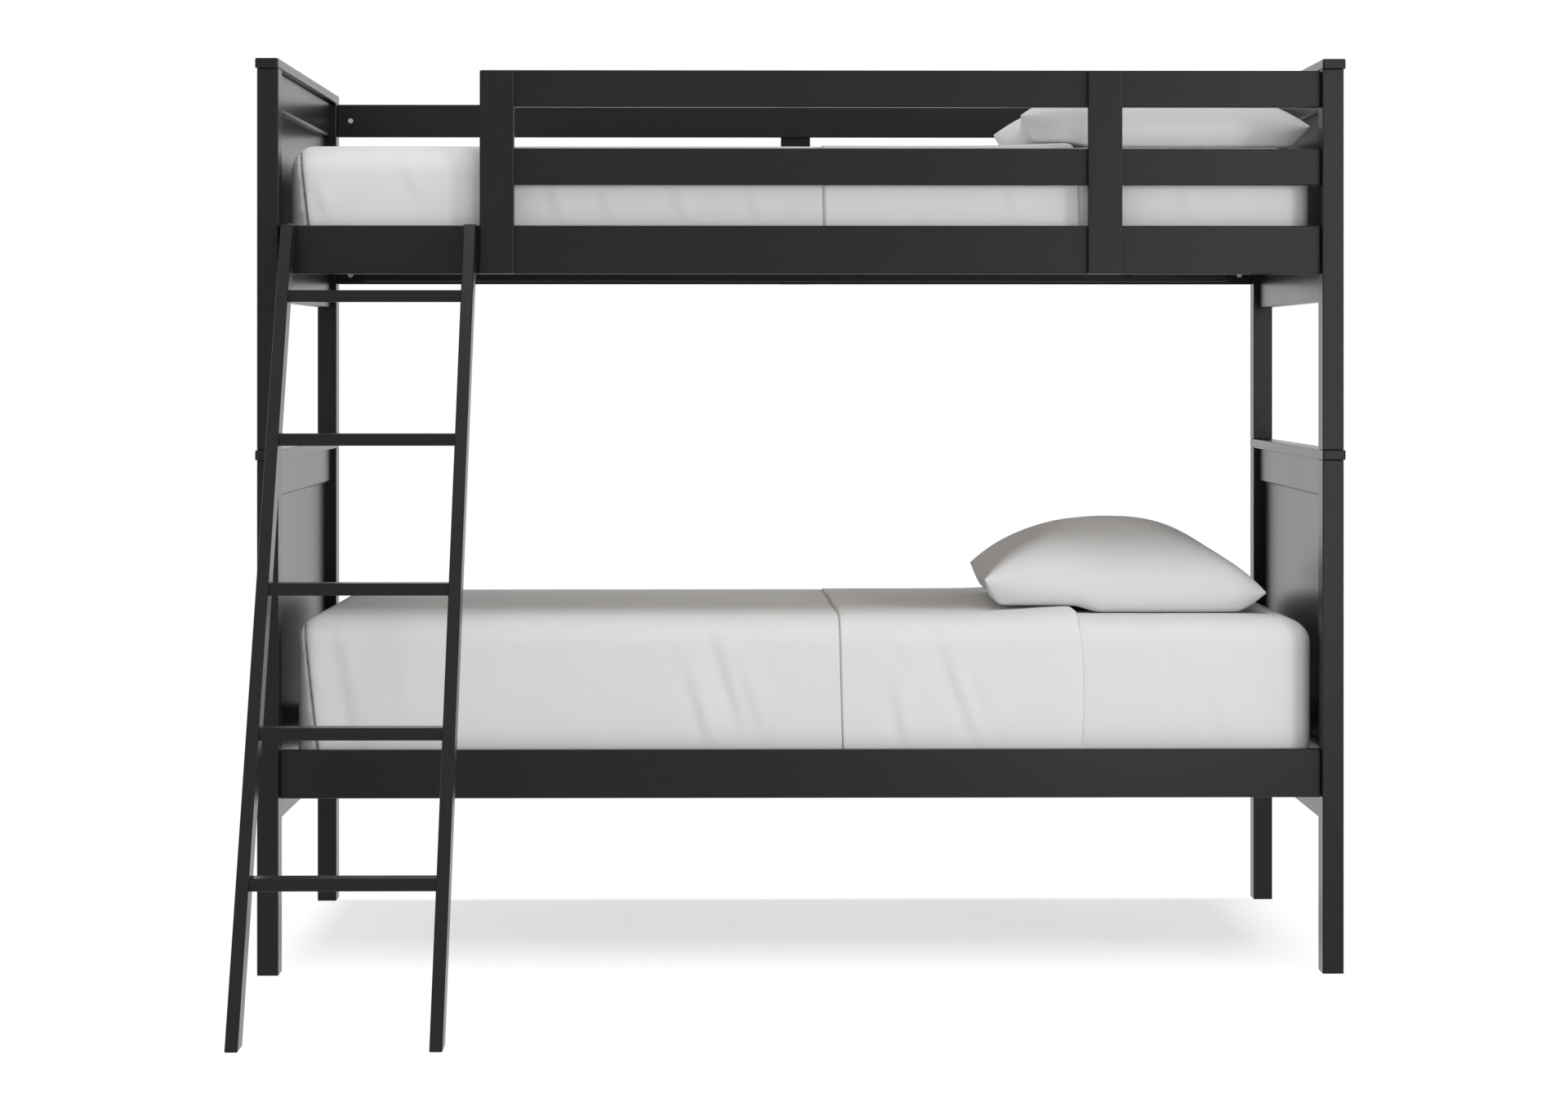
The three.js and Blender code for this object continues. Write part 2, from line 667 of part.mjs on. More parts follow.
function makeLadder() {
  const group = new THREE.Group();
  const railX = (ladderWidth - ladderRailThickness) / 2;
  for (const end of ends) {
    place(group, `ladder_rail_${end.name}`, makeLadderRail(end), blackPaint, end.sign * railX, 0, 0);
    place(group, `ladder_hook_${end.name}`, makeHook(), yellowZinc, end.sign * railX, 0, 0);
  }
  const treadLength = ladderWidth - 2 * ladderRailThickness + 2 * treadHousing;
  treadHeights().forEach((height, index) => {
    const tread = board(treadLength, treadDepth, treadThickness, treadEdge);
    place(group, `ladder_tread_${index + 1}`, tread, blackPaint, 0, ladderY(height), height);
  });
  group.position.x = ladderMiddleX;
  return group;
}

// ---------------------------------------------------------------- The whole bed

const lower = makeBed(lowerBed);
addPins(lower);

const upper = makeBed(upperBed);
addGuards(upper);
upper.position.z = upperBase;

const bunkBed = new THREE.Group();
bunkBed.add(lower, upper, makeLadder());
bunkBed.position.y = -outlineMiddleY;

export default bunkBed;
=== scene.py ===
import math

import bmesh
import bpy
from bpy.props import FloatProperty, FloatVectorProperty, PointerProperty
from mathutils import Matrix, Vector, noise


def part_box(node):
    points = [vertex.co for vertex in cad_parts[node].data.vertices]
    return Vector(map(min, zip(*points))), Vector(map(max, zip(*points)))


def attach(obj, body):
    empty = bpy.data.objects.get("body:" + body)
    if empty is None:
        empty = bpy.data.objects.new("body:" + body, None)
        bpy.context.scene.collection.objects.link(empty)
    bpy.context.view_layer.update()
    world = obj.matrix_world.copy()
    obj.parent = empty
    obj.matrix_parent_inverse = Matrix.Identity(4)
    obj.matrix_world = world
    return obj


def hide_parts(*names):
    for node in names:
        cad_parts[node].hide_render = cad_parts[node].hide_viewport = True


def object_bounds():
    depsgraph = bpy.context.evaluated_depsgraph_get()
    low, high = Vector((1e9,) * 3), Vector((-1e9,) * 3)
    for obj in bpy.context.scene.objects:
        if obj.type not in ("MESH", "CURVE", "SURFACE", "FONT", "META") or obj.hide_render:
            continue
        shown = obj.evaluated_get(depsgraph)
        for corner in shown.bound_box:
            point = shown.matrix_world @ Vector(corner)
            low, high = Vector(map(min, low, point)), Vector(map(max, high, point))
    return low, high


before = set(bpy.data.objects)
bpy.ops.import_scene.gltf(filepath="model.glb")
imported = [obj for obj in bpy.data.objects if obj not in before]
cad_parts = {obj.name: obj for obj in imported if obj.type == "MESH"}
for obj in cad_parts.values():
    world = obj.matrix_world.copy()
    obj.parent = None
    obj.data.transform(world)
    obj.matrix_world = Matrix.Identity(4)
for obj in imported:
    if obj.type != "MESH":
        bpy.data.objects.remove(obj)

bl_info = {
    "name": "Bunk Bed",
    "version": (1, 0, 0),
    "blender": (4, 5, 0),
    "location": "View3D > Sidebar > Bunk Bed",
    "description": "Finishes, fixings, bedding and stage for a bunk bed with a ladder",
    "category": "Add Mesh",
}

CAD_BOX = [list(corner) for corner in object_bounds()]
BEDS = ("lower", "upper")
MM = 0.001


def body_name(bed):
    return f"{bed}_bed"


# ---- Settings ----

def length(label, about, default):
    """A length in metres, as a property."""
    return FloatProperty(name=label, description=about, default=default, min=0.0, unit="LENGTH")


def offset(label, about, default):
    """A length in metres that may be negative."""
    return FloatProperty(name=label, description=about, default=default, unit="LENGTH")


def power(label, about, default):
    """The power of a lamp in watts."""
    return FloatProperty(name=label, description=about, default=default, min=0.0, unit="POWER")


def share(label, about, default):
    """A share from 0 to 1."""
    return FloatProperty(name=label, description=about, default=default, min=0.0, max=1.0, subtype="FACTOR")


def colour(label, about, default):
    return FloatVectorProperty(
        name=label, description=about, default=default, min=0.0, max=1.0, size=3, subtype="COLOR"
    )


class BUNKBED_PG_finish(bpy.types.PropertyGroup):
    """Colours and gloss of the frame and its metal parts"""

    paint: colour("Paint", "Black satin paint on the frame and ladder", (0.0095, 0.0092, 0.0085))
    paint_roughness: share("Paint roughness", "How dull the satin paint is", 0.27)
    grain_depth: share("Grain depth", "How much wood grain shows through the paint", 0.035)
    pine: colour("Pine", "Bare wood of the slats", (0.50, 0.38, 0.25))
    webbing: colour("Webbing", "Woven straps under the slats", (0.42, 0.38, 0.31))
    zinc: colour("Yellow zinc", "Plating of the ladder hooks", (0.13, 0.125, 0.045))
    steel: colour("Steel", "Pins, barrel nuts and bolt heads", (0.55, 0.55, 0.54))
    black_oxide: colour("Black oxide", "Screw heads", (0.02, 0.02, 0.02))


class BUNKBED_PG_fixings(bpy.types.PropertyGroup):
    """Sizes of the bolts, barrel nuts and screws"""

    nut_radius: length("Nut radius", "Barrel nuts in the rails", 0.0056)
    nut_length: length("Nut length", "Barrel nuts in the rails", 0.014)
    nut_inset: length("Nut inset", "From the end of a rail to its barrel nut", 0.028)
    bolt_spacing: length("Bolt spacing", "Between the two bolts at the end of a side rail", 0.050)
    bolt_head_radius: length("Bolt head radius", "Socket heads in the posts", 0.0062)
    bolt_head_height: length("Bolt head height", "Socket heads in the posts", 0.005)
    screw_radius: length("Screw radius", "Heads of the wood screws", 0.004)
    screw_height: length("Screw height", "How far the screw heads stand proud", 0.0006)
    cleat_screw_pitch: length("Cleat screw pitch", "Between the screws along a cleat", 0.28)


class BUNKBED_PG_bedding(bpy.types.PropertyGroup):
    """Sizes and colour of the mattresses, sheets and pillows"""

    cotton: colour("Cotton", "Sheets and pillow cases", (0.78, 0.775, 0.77))
    cloth_step: length("Cloth step", "Size of the faces of the bedding", 0.012)
    side_slack: length("Side slack", "Room for the sheets beside and over the mattress core", 0.006)
    head_rounding: length("Head rounding", "How far the rounding runs in from the head", 0.068)
    foot_rounding: length("Foot rounding", "How far the rounding runs in from the foot", 0.042)
    side_rounding: length("Side rounding", "How far the rounding runs in from the front and the back", 0.050)
    top_rounding: length("Top rounding", "How far the rounding runs down from the top", 0.050)
    base_rounding: length("Base rounding", "How far the rounding runs up from the base", 0.030)
    crown: length("Crown", "How far the middle of a mattress stands above its rim", 0.001)
    sheet_gap: length("Sheet gap", "From the mattress to the flat sheet", 0.0016)
    sheet_thickness: length("Sheet thickness", "The flat sheet", 0.0010)
    hem_height: length("Hem height", "From the mattress to the hem of the sheet turned down", 0.0034)
    sheet_width: length("Sheet width", "The flat sheet before it is laid", 1.676)
    sheet_length: length("Sheet length", "The flat sheet before it is laid", 2.438)
    pillow_seam: length("Pillow seam", "Height of the seam of a pillow halfway along its sides", 0.030)
    pillow_corner_lift: length("Pillow corner lift", "How far the corners at the foot end are raised", 0.0235)


BED_SETTINGS = {  # name: (description, value on the lower bed, value on the upper bed)
    "foot_slack": ("Room at the foot of the mattress", 0.007, -0.006),
    "head_slack": ("Room at the head of the mattress", 0.003, 0.006),
    "fold": ("From the head of the mattress to the fold of the flat sheet", 0.439, 0.445),
    "fold_height": ("How high the turned-down sheet stands at its fold", 0.0130, 0.0085),
    "turn_down": ("How much of the flat sheet is turned down", 0.441, 0.466),
    "hem_groove": ("How deep the hem of the flat sheet presses in", 0.0040, 0.0012),
    "pillow_height": ("Crown of the pillow", 0.1745, 0.1465),
    "pillow_turn": ("How far the back corner of the pillow lies towards the head", 0.008, -0.012),
    "pillow_slack": ("Room at the head of the pillow", 0.010, -0.005),
}
for setting, (about, *defaults) in BED_SETTINGS.items():
    for bed, default in zip(BEDS, defaults):
        label = f"{bed}_{setting}".replace("_", " ").capitalize()
        BUNKBED_PG_bedding.__annotations__[f"{bed}_{setting}"] = offset(label, about, default)


class BUNKBED_PG_stage(bpy.types.PropertyGroup):
    """Camera, light and floor"""

    camera_x: offset("Camera X", "Along the bed", -0.0858)
    camera_distance: length("Camera distance", "In front of the origin", 7.514)
    camera_height: length("Camera height", "Above the floor", 1.1394)
    camera_yaw: FloatProperty(
        name="Camera yaw", description="Turn to the right", default=math.radians(0.724), subtype="ANGLE"
    )
    lens: FloatProperty(name="Lens", description="Focal length in millimetres", default=91.52)
    shift_x: FloatProperty(name="Shift X", description="Sideways shift of the lens", default=-0.0136)
    shift_y: FloatProperty(name="Shift Y", description="Upward shift of the lens", default=-0.1248)
    key_power: power("Key power", "Soft box in front, far to the right", 80.0)
    side_power: power("Side power", "Soft box to the right of the camera", 44.0)
    top_power: power("Top power", "Soft box above and in front", 108.0)
    low_power: power("Low power", "Soft box near the floor", 17.0)
    room_light: share("Room light", "Strength of the white room as the object sees it", 0.535)
    floor: colour("Floor", "Pale studio floor", (0.93, 0.92, 0.916))


def settings(name):
    return getattr(bpy.context.scene, f"bunkbed_{name}")


# ---- Shader maths ----

class Signal:
    """An output socket that takes part in Python expressions."""

    def __init__(self, graph, socket):
        self.graph = graph
        self.socket = socket

    def math(self, operation, *others):
        return self.graph.node("ShaderNodeMath", {"operation": operation}, [self, *others])

    def __add__(self, other):
        return self.math("ADD", other)

    def __mul__(self, other):
        return self.math("MULTIPLY", other)

    def __sub__(self, other):
        return self.math("SUBTRACT", other)

    def __rsub__(self, other):
        return self.graph.node("ShaderNodeMath", {"operation": "SUBTRACT"}, [other, self])

    __radd__ = __add__
    __rmul__ = __mul__

    def sine(self):
        return self.math("SINE")

    def above(self, limit):
        return self.math("GREATER_THAN", limit)


class Graph:
    """Makes the nodes of one node tree."""

    def __init__(self, tree):
        self.tree = tree

    def node(self, kind, options=None, sockets=(), output=0):
        """Adds a node with its options, fills its sockets by place or by name, and returns one output."""
        made = self.tree.nodes.new(kind)
        for name, value in (options or {}).items():
            if name == "stops":
                self.set_stops(made.color_ramp, value)
            else:
                setattr(made, name, value)
        pairs = sockets.items() if isinstance(sockets, dict) else enumerate(sockets)
        for key, value in pairs:
            if isinstance(value, Signal):
                self.tree.links.new(value.socket, made.inputs[key])
            elif value is not None:
                made.inputs[key].default_value = value
        return None if output is None else Signal(self, made.outputs[output])

    @staticmethod
    def set_stops(ramp, stops):
        while len(ramp.elements) < len(stops):
            ramp.elements.new(1.0)
        for element, (position, value) in zip(ramp.elements, stops):
            element.position = position
            element.color = (value, value, value, 1.0)

    def place(self, scale=(1.0, 1.0, 1.0), turn=(0.0, 0.0, 0.0), source="Object"):
        """Coordinates of the surface, stretched and turned."""
        coordinates = self.node("ShaderNodeTexCoord", output=source)
        return self.node("ShaderNodeMapping", None, {"Vector": coordinates, "Scale": scale, "Rotation": turn})

    def parts(self, vector, *axes):
        """The parts of a vector along the given axes."""
        return [self.node("ShaderNodeSeparateXYZ", None, [vector], output=axis) for axis in axes]

    def noise(self, vector, scale, detail=3.0, roughness=0.5):
        sockets = {"Vector": vector, "Scale": scale, "Detail": detail, "Roughness": roughness}
        return self.node("ShaderNodeTexNoise", None, sockets, output="Fac")

    def ramp(self, signal, *stops):
        return self.node("ShaderNodeValToRGB", {"stops": stops}, [signal])

    def blend(self, mask, first, second):
        """first where the mask is 0 and second where it is 1, for colours."""
        colours = [tuple(c) + (1.0,) if not isinstance(c, Signal) else c for c in (first, second)]
        sockets = {"Factor": mask, 6: colours[0], 7: colours[1]}
        return self.node("ShaderNodeMix", {"data_type": "RGBA"}, sockets, output=2)

    def bump(self, height, distance, strength=1.0, normal=None):
        sockets = {"Height": height, "Distance": distance, "Strength": strength, "Normal": normal}
        return self.node("ShaderNodeBump", None, sockets)


def new_material(name):
    """A material, its graph and its Principled shader."""
    material = bpy.data.materials.new(name)
    material.use_nodes = True
    graph = Graph(material.node_tree)
    shader = material.node_tree.nodes["Principled BSDF"]
    return material, graph, shader


def feed(graph, shader, **sockets):
    """Links or sets sockets of a shader, named with underscores."""
    for name, value in sockets.items():
        socket = shader.inputs[name.replace("_", " ").title().replace("Ior", "IOR")]
        if isinstance(value, Signal):
            graph.tree.links.new(value.socket, socket)
        else:
            socket.default_value = value


def scaled(values, factor):
    return tuple(value * factor for value in values)


# ---- Materials ----

# The noise of the grain is drawn out along the board and dense across it.
GRAIN_SCALES = {"x": (1.2, 26.0, 26.0), "y": (26.0, 1.2, 26.0), "z": (26.0, 26.0, 1.2)}
# Relief mottles what is seen at a glancing angle, such as the end rails along Y, so they have less.
RELIEF_SHARES = {"x": 1.0, "y": 0.2, "z": 1.0}
THREADS_PER_METRE = 1400.0


def satin_paint(name, grain_axis, turn=(0.0, 0.0, 0.0), relief_share=1.0):
    """Black satin paint that shows a little of the wood grain, which runs along the board."""
    finish = settings("finish")
    material, graph, shader = new_material(name)
    along = graph.place(GRAIN_SCALES[grain_axis], turn)
    grain = graph.noise(along, 9.0, 4.0, 0.6)
    pores = graph.noise(along, 60.0, 2.0)
    brushed = graph.noise(graph.place(), 2.2, 2.0)
    peel = graph.noise(graph.place(), 420.0, 1.0)
    streaks = graph.ramp(grain, (0.35, 0.0), (0.7, 1.0))
    tone = graph.blend(streaks, scaled(finish.paint, 0.94), scaled(finish.paint, 1.12))
    gloss = finish.paint_roughness - 0.03 + grain * (0.03 * relief_share) + brushed * 0.04
    relief = graph.bump(grain * 0.7 + pores * 0.3, 0.25 * MM, finish.grain_depth * relief_share)
    surface = graph.bump(peel, 0.03 * MM, 0.025 * relief_share, relief)
    feed(graph, shader, base_color=tone, roughness=gloss, normal=surface, specular_ior_level=0.2)
    return material


def pine_slats(slat_underside):
    """Planed pine, and beige webbing below the undersides of the slats."""
    finish = settings("finish")
    material, graph, shader = new_material(f"pine_slats_{round(slat_underside * 1000)}")
    along = graph.place((30.0, 1.0, 30.0))
    rings = (graph.noise(along, 2.0, 3.0) * 34.0).sine() * 0.5 + 0.5
    fibres = graph.noise(along, 40.0, 3.0, 0.7)
    wood = graph.blend(rings * 0.6 + fibres * 0.3, scaled(finish.pine, 1.15), scaled(finish.pine, 0.62))
    (height,) = graph.parts(graph.place(), 2)
    strap = 1.0 - height.above(slat_underside - 0.1 * MM)
    weave = graph.node("ShaderNodeTexChecker", None, {"Vector": graph.place(), "Scale": 700.0}, output=1)
    cloth = graph.blend(weave, scaled(finish.webbing, 0.8), finish.webbing)
    relief = graph.bump(fibres * (1.0 - strap) + weave * strap, 0.2 * MM, 0.4)
    colour_out = graph.blend(strap, wood, cloth)
    feed(graph, shader, base_color=colour_out, roughness=0.62 + strap * 0.25, normal=relief)
    return material


def cotton_cloth(name, tint=1.0):
    """White percale: a fine square weave on the piece's own UV map, with soft uneven tone."""
    material, graph, shader = new_material(name)
    across, along = graph.parts(graph.place(source="UV"), 0, 1)
    turns = 2.0 * math.pi * THREADS_PER_METRE
    weave = (across * turns).sine() * (along * turns).sine() * 0.5 + 0.5
    slubs = graph.noise(graph.place((1.0, 1.0, 0.15), source="UV"), 900.0, 2.0)
    tone = graph.noise(graph.place(), 5.0, 3.0)
    rumple = graph.noise(graph.place(), 28.0, 3.0, 0.55)
    cotton = scaled(settings("bedding").cotton, tint)
    shade = graph.blend(tone * 0.5 + weave * 0.2, scaled(cotton, 0.965), scaled(cotton, 1.02))
    soft = graph.bump(rumple, 1.6 * MM, 0.22)
    thread = graph.bump(weave * 0.6 + slubs * 0.4, 0.12 * MM, 0.3, soft)
    feed(graph, shader, base_color=shade, roughness=0.82 + tone * 0.1, normal=thread, specular_ior_level=0.25)
    feed(graph, shader, sheen_weight=0.15, sheen_roughness=0.5)
    return material


def plated_metal(name, tint, roughness):
    """Bright or plated metal with fine scratches."""
    material, graph, shader = new_material(name)
    scratches = graph.noise(graph.place((6.0, 120.0, 30.0)), 18.0, 3.0, 0.7)
    patches = graph.noise(graph.place(), 60.0, 2.0)
    tone = graph.blend(patches, scaled(tint, 0.85), scaled(tint, 1.12))
    relief = graph.bump(scratches, 0.02 * MM, 0.5)
    feed(graph, shader, base_color=tone, roughness=roughness + scratches * 0.12, normal=relief, metallic=1.0)
    return material


# ---- Making pieces ----

def as_mesh(bm, name):
    """Turns a bmesh into a mesh, and frees it."""
    mesh = bpy.data.meshes.new(name)
    bm.to_mesh(mesh)
    bm.free()
    return mesh


def in_scene(name, data):
    """A new object in the scene, with its data."""
    made = bpy.data.objects.new(name, data)
    bpy.context.scene.collection.objects.link(made)
    return made


def finished(bm, name, material, body, smooth_angle):
    """Turns a bmesh into a named piece that rides on a body and takes a material slot's finish."""
    mesh = as_mesh(bm, name)
    mesh.materials.append(material)
    mesh.shade_smooth()
    mesh.set_sharp_from_angle(angle=smooth_angle)
    piece = in_scene(name, mesh)
    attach(piece, body)
    return piece


def stamped(template, places):
    """A bmesh with one copy of the template at each place. The template is used up."""
    mesh = as_mesh(template, "template")
    bm = bmesh.new()
    for place in places:
        before = len(bm.verts)
        bm.from_mesh(mesh)
        bm.verts.ensure_lookup_table()
        bmesh.ops.transform(bm, matrix=place, verts=bm.verts[before:])
    bpy.data.meshes.remove(mesh)
    return bm


def facing(direction, position):
    """A matrix that turns +Z to a direction and moves to a position."""
    turn = Vector((0.0, 0.0, 1.0)).rotation_difference(Vector(direction)).to_matrix().to_4x4()
    return Matrix.Translation(position) @ turn


def headed(radius, height, rim):
    """A round head whose outer face is at z = 0, with a rounded rim."""
    bm = bmesh.new()
    bmesh.ops.create_cone(bm, cap_ends=True, segments=28, radius1=radius, radius2=radius, depth=height)
    bmesh.ops.translate(bm, vec=(0.0, 0.0, -height / 2), verts=bm.verts)
    bmesh.ops.bevel(
        bm,
        geom=list(max(bm.faces, key=lambda face: face.calc_center_median().z).edges),
        offset=rim,
        affect="EDGES",
        segments=2,
        profile=0.5,
        material=-1,
        clamp_overlap=True,
    )
    return bm


def from_axis(vert):
    return vert.co.to_2d().length


def top_faces(bm, within=math.inf):
    """The faces of the flat top whose corners all lie within a distance of the axis."""
    height = max(vert.co.z for vert in bm.verts)
    level = [face for face in bm.faces if face.calc_center_median().z > height - 1e-6 and face.normal.z > 0.9]
    return [face for face in level if max(map(from_axis, face.verts)) < within]


def sink(bm, recess, arms):
    """Sinks a slot, or a cross of two arms, into the flat top of a head."""
    half_width, reach, depth = (size * MM for size in recess)
    within = reach * 1.05
    bm.normal_update()
    inner = top_faces(bm)
    bmesh.ops.inset_individual(bm, faces=inner, thickness=min(map(from_axis, inner[0].verts)) - reach)
    for arm in arms:
        for side in (-1, 1):
            faces = top_faces(bm, within)
            rims = dict.fromkeys(item for face in faces for item in (*face.edges, *face.verts))
            normal = Vector(arm).to_3d()
            wall = normal * side * half_width
            bmesh.ops.bisect_plane(bm, geom=[*faces, *rims], plane_co=wall, plane_no=normal)

    def is_in_recess(face):
        middle = face.calc_center_median().to_2d()
        return any(abs(middle.dot(Vector(arm))) < half_width for arm in arms)

    cut_out = [face for face in top_faces(bm, within) if is_in_recess(face)]
    sunk = bmesh.ops.extrude_face_region(bm, geom=cut_out)["geom"]
    moved = [item for item in sunk if isinstance(item, bmesh.types.BMVert)]
    bmesh.ops.translate(bm, vec=(0.0, 0.0, -depth), verts=moved)
    bmesh.ops.delete(bm, geom=cut_out, context="FACES")
    return bm


# ---- Frame finish ----

LADDER_RAIL_DEPTH = 0.060  # of a leaning rail, measured level
SLAT_THICKNESS = 0.015


def ladder_lean():
    """How far the ladder leans back from upright, in radians."""
    low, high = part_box("ladder_rail_left")
    return math.atan2(high.y - low.y - LADDER_RAIL_DEPTH, high.z - low.z)


class BUNKBED_OT_paint_frame(bpy.types.Operator):
    """Give the frame, ladder, slats, pins and hooks their finishes"""

    bl_idname = "bunkbed.paint_frame"
    bl_label = "Paint the frame"

    def execute(self, context):
        finish = settings("finish")
        paint = {
            axis: satin_paint(f"satin_paint_along_{axis}", axis, relief_share=relief_share)
            for axis, relief_share in RELIEF_SHARES.items()
        }
        ladder_paint = satin_paint("satin_paint_ladder_rails", "z", (-ladder_lean(), 0.0, 0.0))
        panel_paint = satin_paint("satin_paint_panels", "y", relief_share=0.0)
        zinc = plated_metal("yellow_zinc", finish.zinc, 0.34)
        steel = plated_metal("plain_steel", finish.steel, 0.32)
        for name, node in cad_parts.items():
            low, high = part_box(name)
            size = high - low
            longest = "xyz"[max(range(3), key=lambda axis: size[axis])]
            material = paint[longest]
            if name.startswith("ladder_rail"):
                material = ladder_paint
            elif "_panel" in name:
                material = panel_paint
            elif name.startswith("ladder_hook"):
                material = zinc
            elif name.startswith("bunk_pin"):
                material = steel
            elif name.endswith("slat_roll"):
                material = pine_slats(high.z - SLAT_THICKNESS)
            node.data.materials.clear()
            node.data.materials.append(material)
        return {"FINISHED"}


# ---- Fixings ----

ACROSS, ALONG = (1.0, 0.0), (0.0, 1.0)
# Recesses in heads, in millimetres: half the width of an arm, its reach from the middle, and the depth.
NUT_SLOT, BOLT_SOCKET, SCREW_CROSS = (0.8, 4.6, 1.4), (2.0, 3.0, 2.6), (0.6, 2.4, 0.5)
NUT_RIM, BOLT_RIM, SCREW_RIM = 0.5 * MM, 0.6 * MM, 0.25 * MM
NUT_SUNK, BOLT_SUNK = 0.5 * MM, 1.0 * MM  # below the face of the wood
HEAD_SMOOTHING = math.radians(40)
BOARD_SCREW_STEP = (0.0165, 0.019)  # from the middle of a crossing to each screw, sideways and up
HOOK_SCREW_DROPS = (0.030, 0.052)  # from the top of the rail, down its back edge
HOOK_THICKNESS = 2.8 * MM


def inner_y(low, high):
    """The Y face of a rail towards the middle of the bed, and the direction it faces."""
    cap_low, cap_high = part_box("upper_cap_left")
    return (high.y, 1.0) if high.y < (cap_low.y + cap_high.y) / 2 else (low.y, -1.0)


def add_fixings(head, places, name, metal, body):
    """One piece that holds a copy of the head at each place. The head is used up."""
    finished(stamped(head, places), name, metal, body, HEAD_SMOOTHING)


def rail_joints():
    """Every bolted rail: body, box, its bolted ends (-1 left, 1 right) and its bolt heights."""
    spacing = settings("fixings").bolt_spacing
    for bed in BEDS:
        for side in ("front", "back"):
            low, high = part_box(f"{bed}_side_rail_{side}")
            middle = (low.z + high.z) / 2
            yield body_name(bed), low, high, (-1, 1), (middle - spacing / 2, middle + spacing / 2)
    guard_ends = {"guard_top_rail_front": (1,), "guard_middle_rail_front": (1,), "guard_rail_back": (-1, 1)}
    for name, ends in guard_ends.items():
        low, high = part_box(name)
        yield body_name("upper"), low, high, ends, ((low.z + high.z) / 2,)


class BUNKBED_OT_add_bolts(bpy.types.Operator):
    """Add the barrel nuts in the rails and the bolt heads in the posts"""

    bl_idname = "bunkbed.add_bolts"
    bl_label = "Bolts and barrel nuts"

    def execute(self, context):
        sizes = settings("fixings")
        steel = bpy.data.materials["plain_steel"]
        nuts = {body_name(bed): [] for bed in BEDS}
        heads = {body_name(bed): [] for bed in BEDS}
        head_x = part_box("upper_post_front_right")[1].x - BOLT_SUNK
        for body, low, high, ends, heights in rail_joints():
            face_y, towards = inner_y(low, high)
            rail_y = (low.y + high.y) / 2
            for end in ends:
                nut_x = high.x - sizes.nut_inset if end > 0 else low.x + sizes.nut_inset
                for z in heights:
                    nuts[body].append(facing((0, towards, 0), (nut_x, face_y - towards * NUT_SUNK, z)))
                    heads[body].append(facing((end, 0, 0), (end * head_x, rail_y, z)))
        for bed in BEDS:
            body = body_name(bed)
            nut = sink(headed(sizes.nut_radius, sizes.nut_length, NUT_RIM), NUT_SLOT, [ACROSS])
            add_fixings(nut, nuts[body], f"barrel_nuts_{bed}", steel, body)
            head = headed(sizes.bolt_head_radius, sizes.bolt_head_height, BOLT_RIM)
            sink(head, BOLT_SOCKET, [ACROSS, ALONG])
            add_fixings(head, heads[body], f"post_bolts_{bed}", steel, body)
        return {"FINISHED"}


class BUNKBED_OT_add_screws(bpy.types.Operator):
    """Add the screw heads in the guard boards, cleats and ladder hooks"""

    bl_idname = "bunkbed.add_screws"
    bl_label = "Wood screws"

    def screw(self):
        sizes = settings("fixings")
        head = headed(sizes.screw_radius, 2 * sizes.screw_height, SCREW_RIM)
        return sink(head, SCREW_CROSS, [ACROSS, ALONG])

    def execute(self, context):
        sizes = settings("fixings")
        oxide = plated_metal("black_oxide", settings("finish").black_oxide, 0.45)
        proud = sizes.screw_height
        add_fixings(self.screw(), self.board_places(proud), "guard_board_screws", oxide, body_name("upper"))
        for bed in BEDS:
            places = self.cleat_places(bed, proud)
            add_fixings(self.screw(), places, f"cleat_screws_{bed}", oxide, body_name(bed))
        zinc = bpy.data.materials["yellow_zinc"]
        places = self.hook_places(proud)
        add_fixings(self.screw(), places, "ladder_hook_screws", zinc, "ladder")
        return {"FINISHED"}

    def board_places(self, proud):
        """Two screws, one high and one low, from each rail into each upright that it crosses."""
        front_rails = ("upper_side_rail_front", "guard_middle_rail_front", "guard_top_rail_front")
        crossings = {
            "guard_board_left": front_rails,
            "guard_board_right": front_rails,
            "guard_support_back": ("upper_side_rail_back", "guard_rail_back"),
        }
        for upright, rails in crossings.items():
            board_low, board_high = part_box(upright)
            middle_x = (board_low.x + board_high.x) / 2
            for rail in rails:
                low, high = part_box(rail)
                face_y, towards = inner_y(low, high)
                middle_z = (low.z + high.z) / 2
                for step in (-1, 1):
                    sideways, up = (step * size for size in BOARD_SCREW_STEP)
                    spot = (middle_x + sideways, face_y + towards * proud, middle_z + up)
                    yield facing((0, towards, 0), spot)

    def cleat_places(self, bed, proud):
        pitch = settings("fixings").cleat_screw_pitch
        for side in ("front", "back"):
            low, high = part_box(f"{bed}_cleat_{side}")
            face_y, towards = inner_y(low, high)
            count = int((high.x - low.x) / pitch)
            first = -(count - 1) / 2 * pitch
            for index in range(count):
                spot = (first + index * pitch, face_y + towards * proud, (low.z + high.z) / 2)
                yield facing((0, towards, 0), spot)

    def hook_places(self, proud):
        """Two screws through the sloping plate of each hook."""
        _, rail_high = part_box("ladder_rail_left")
        lean = ladder_lean()
        outward = Vector((0.0, math.cos(lean), -math.sin(lean)))
        downward = Vector((0.0, -math.sin(lean), -math.cos(lean)))
        for end in ("left", "right"):
            low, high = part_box(f"ladder_hook_{end}")
            rail_top = Vector(((low.x + high.x) / 2, rail_high.y, rail_high.z))
            for drop in HOOK_SCREW_DROPS:
                yield facing(outward, rail_top + downward * drop + outward * (HOOK_THICKNESS + proud))


# ---- Mattresses and sheets ----

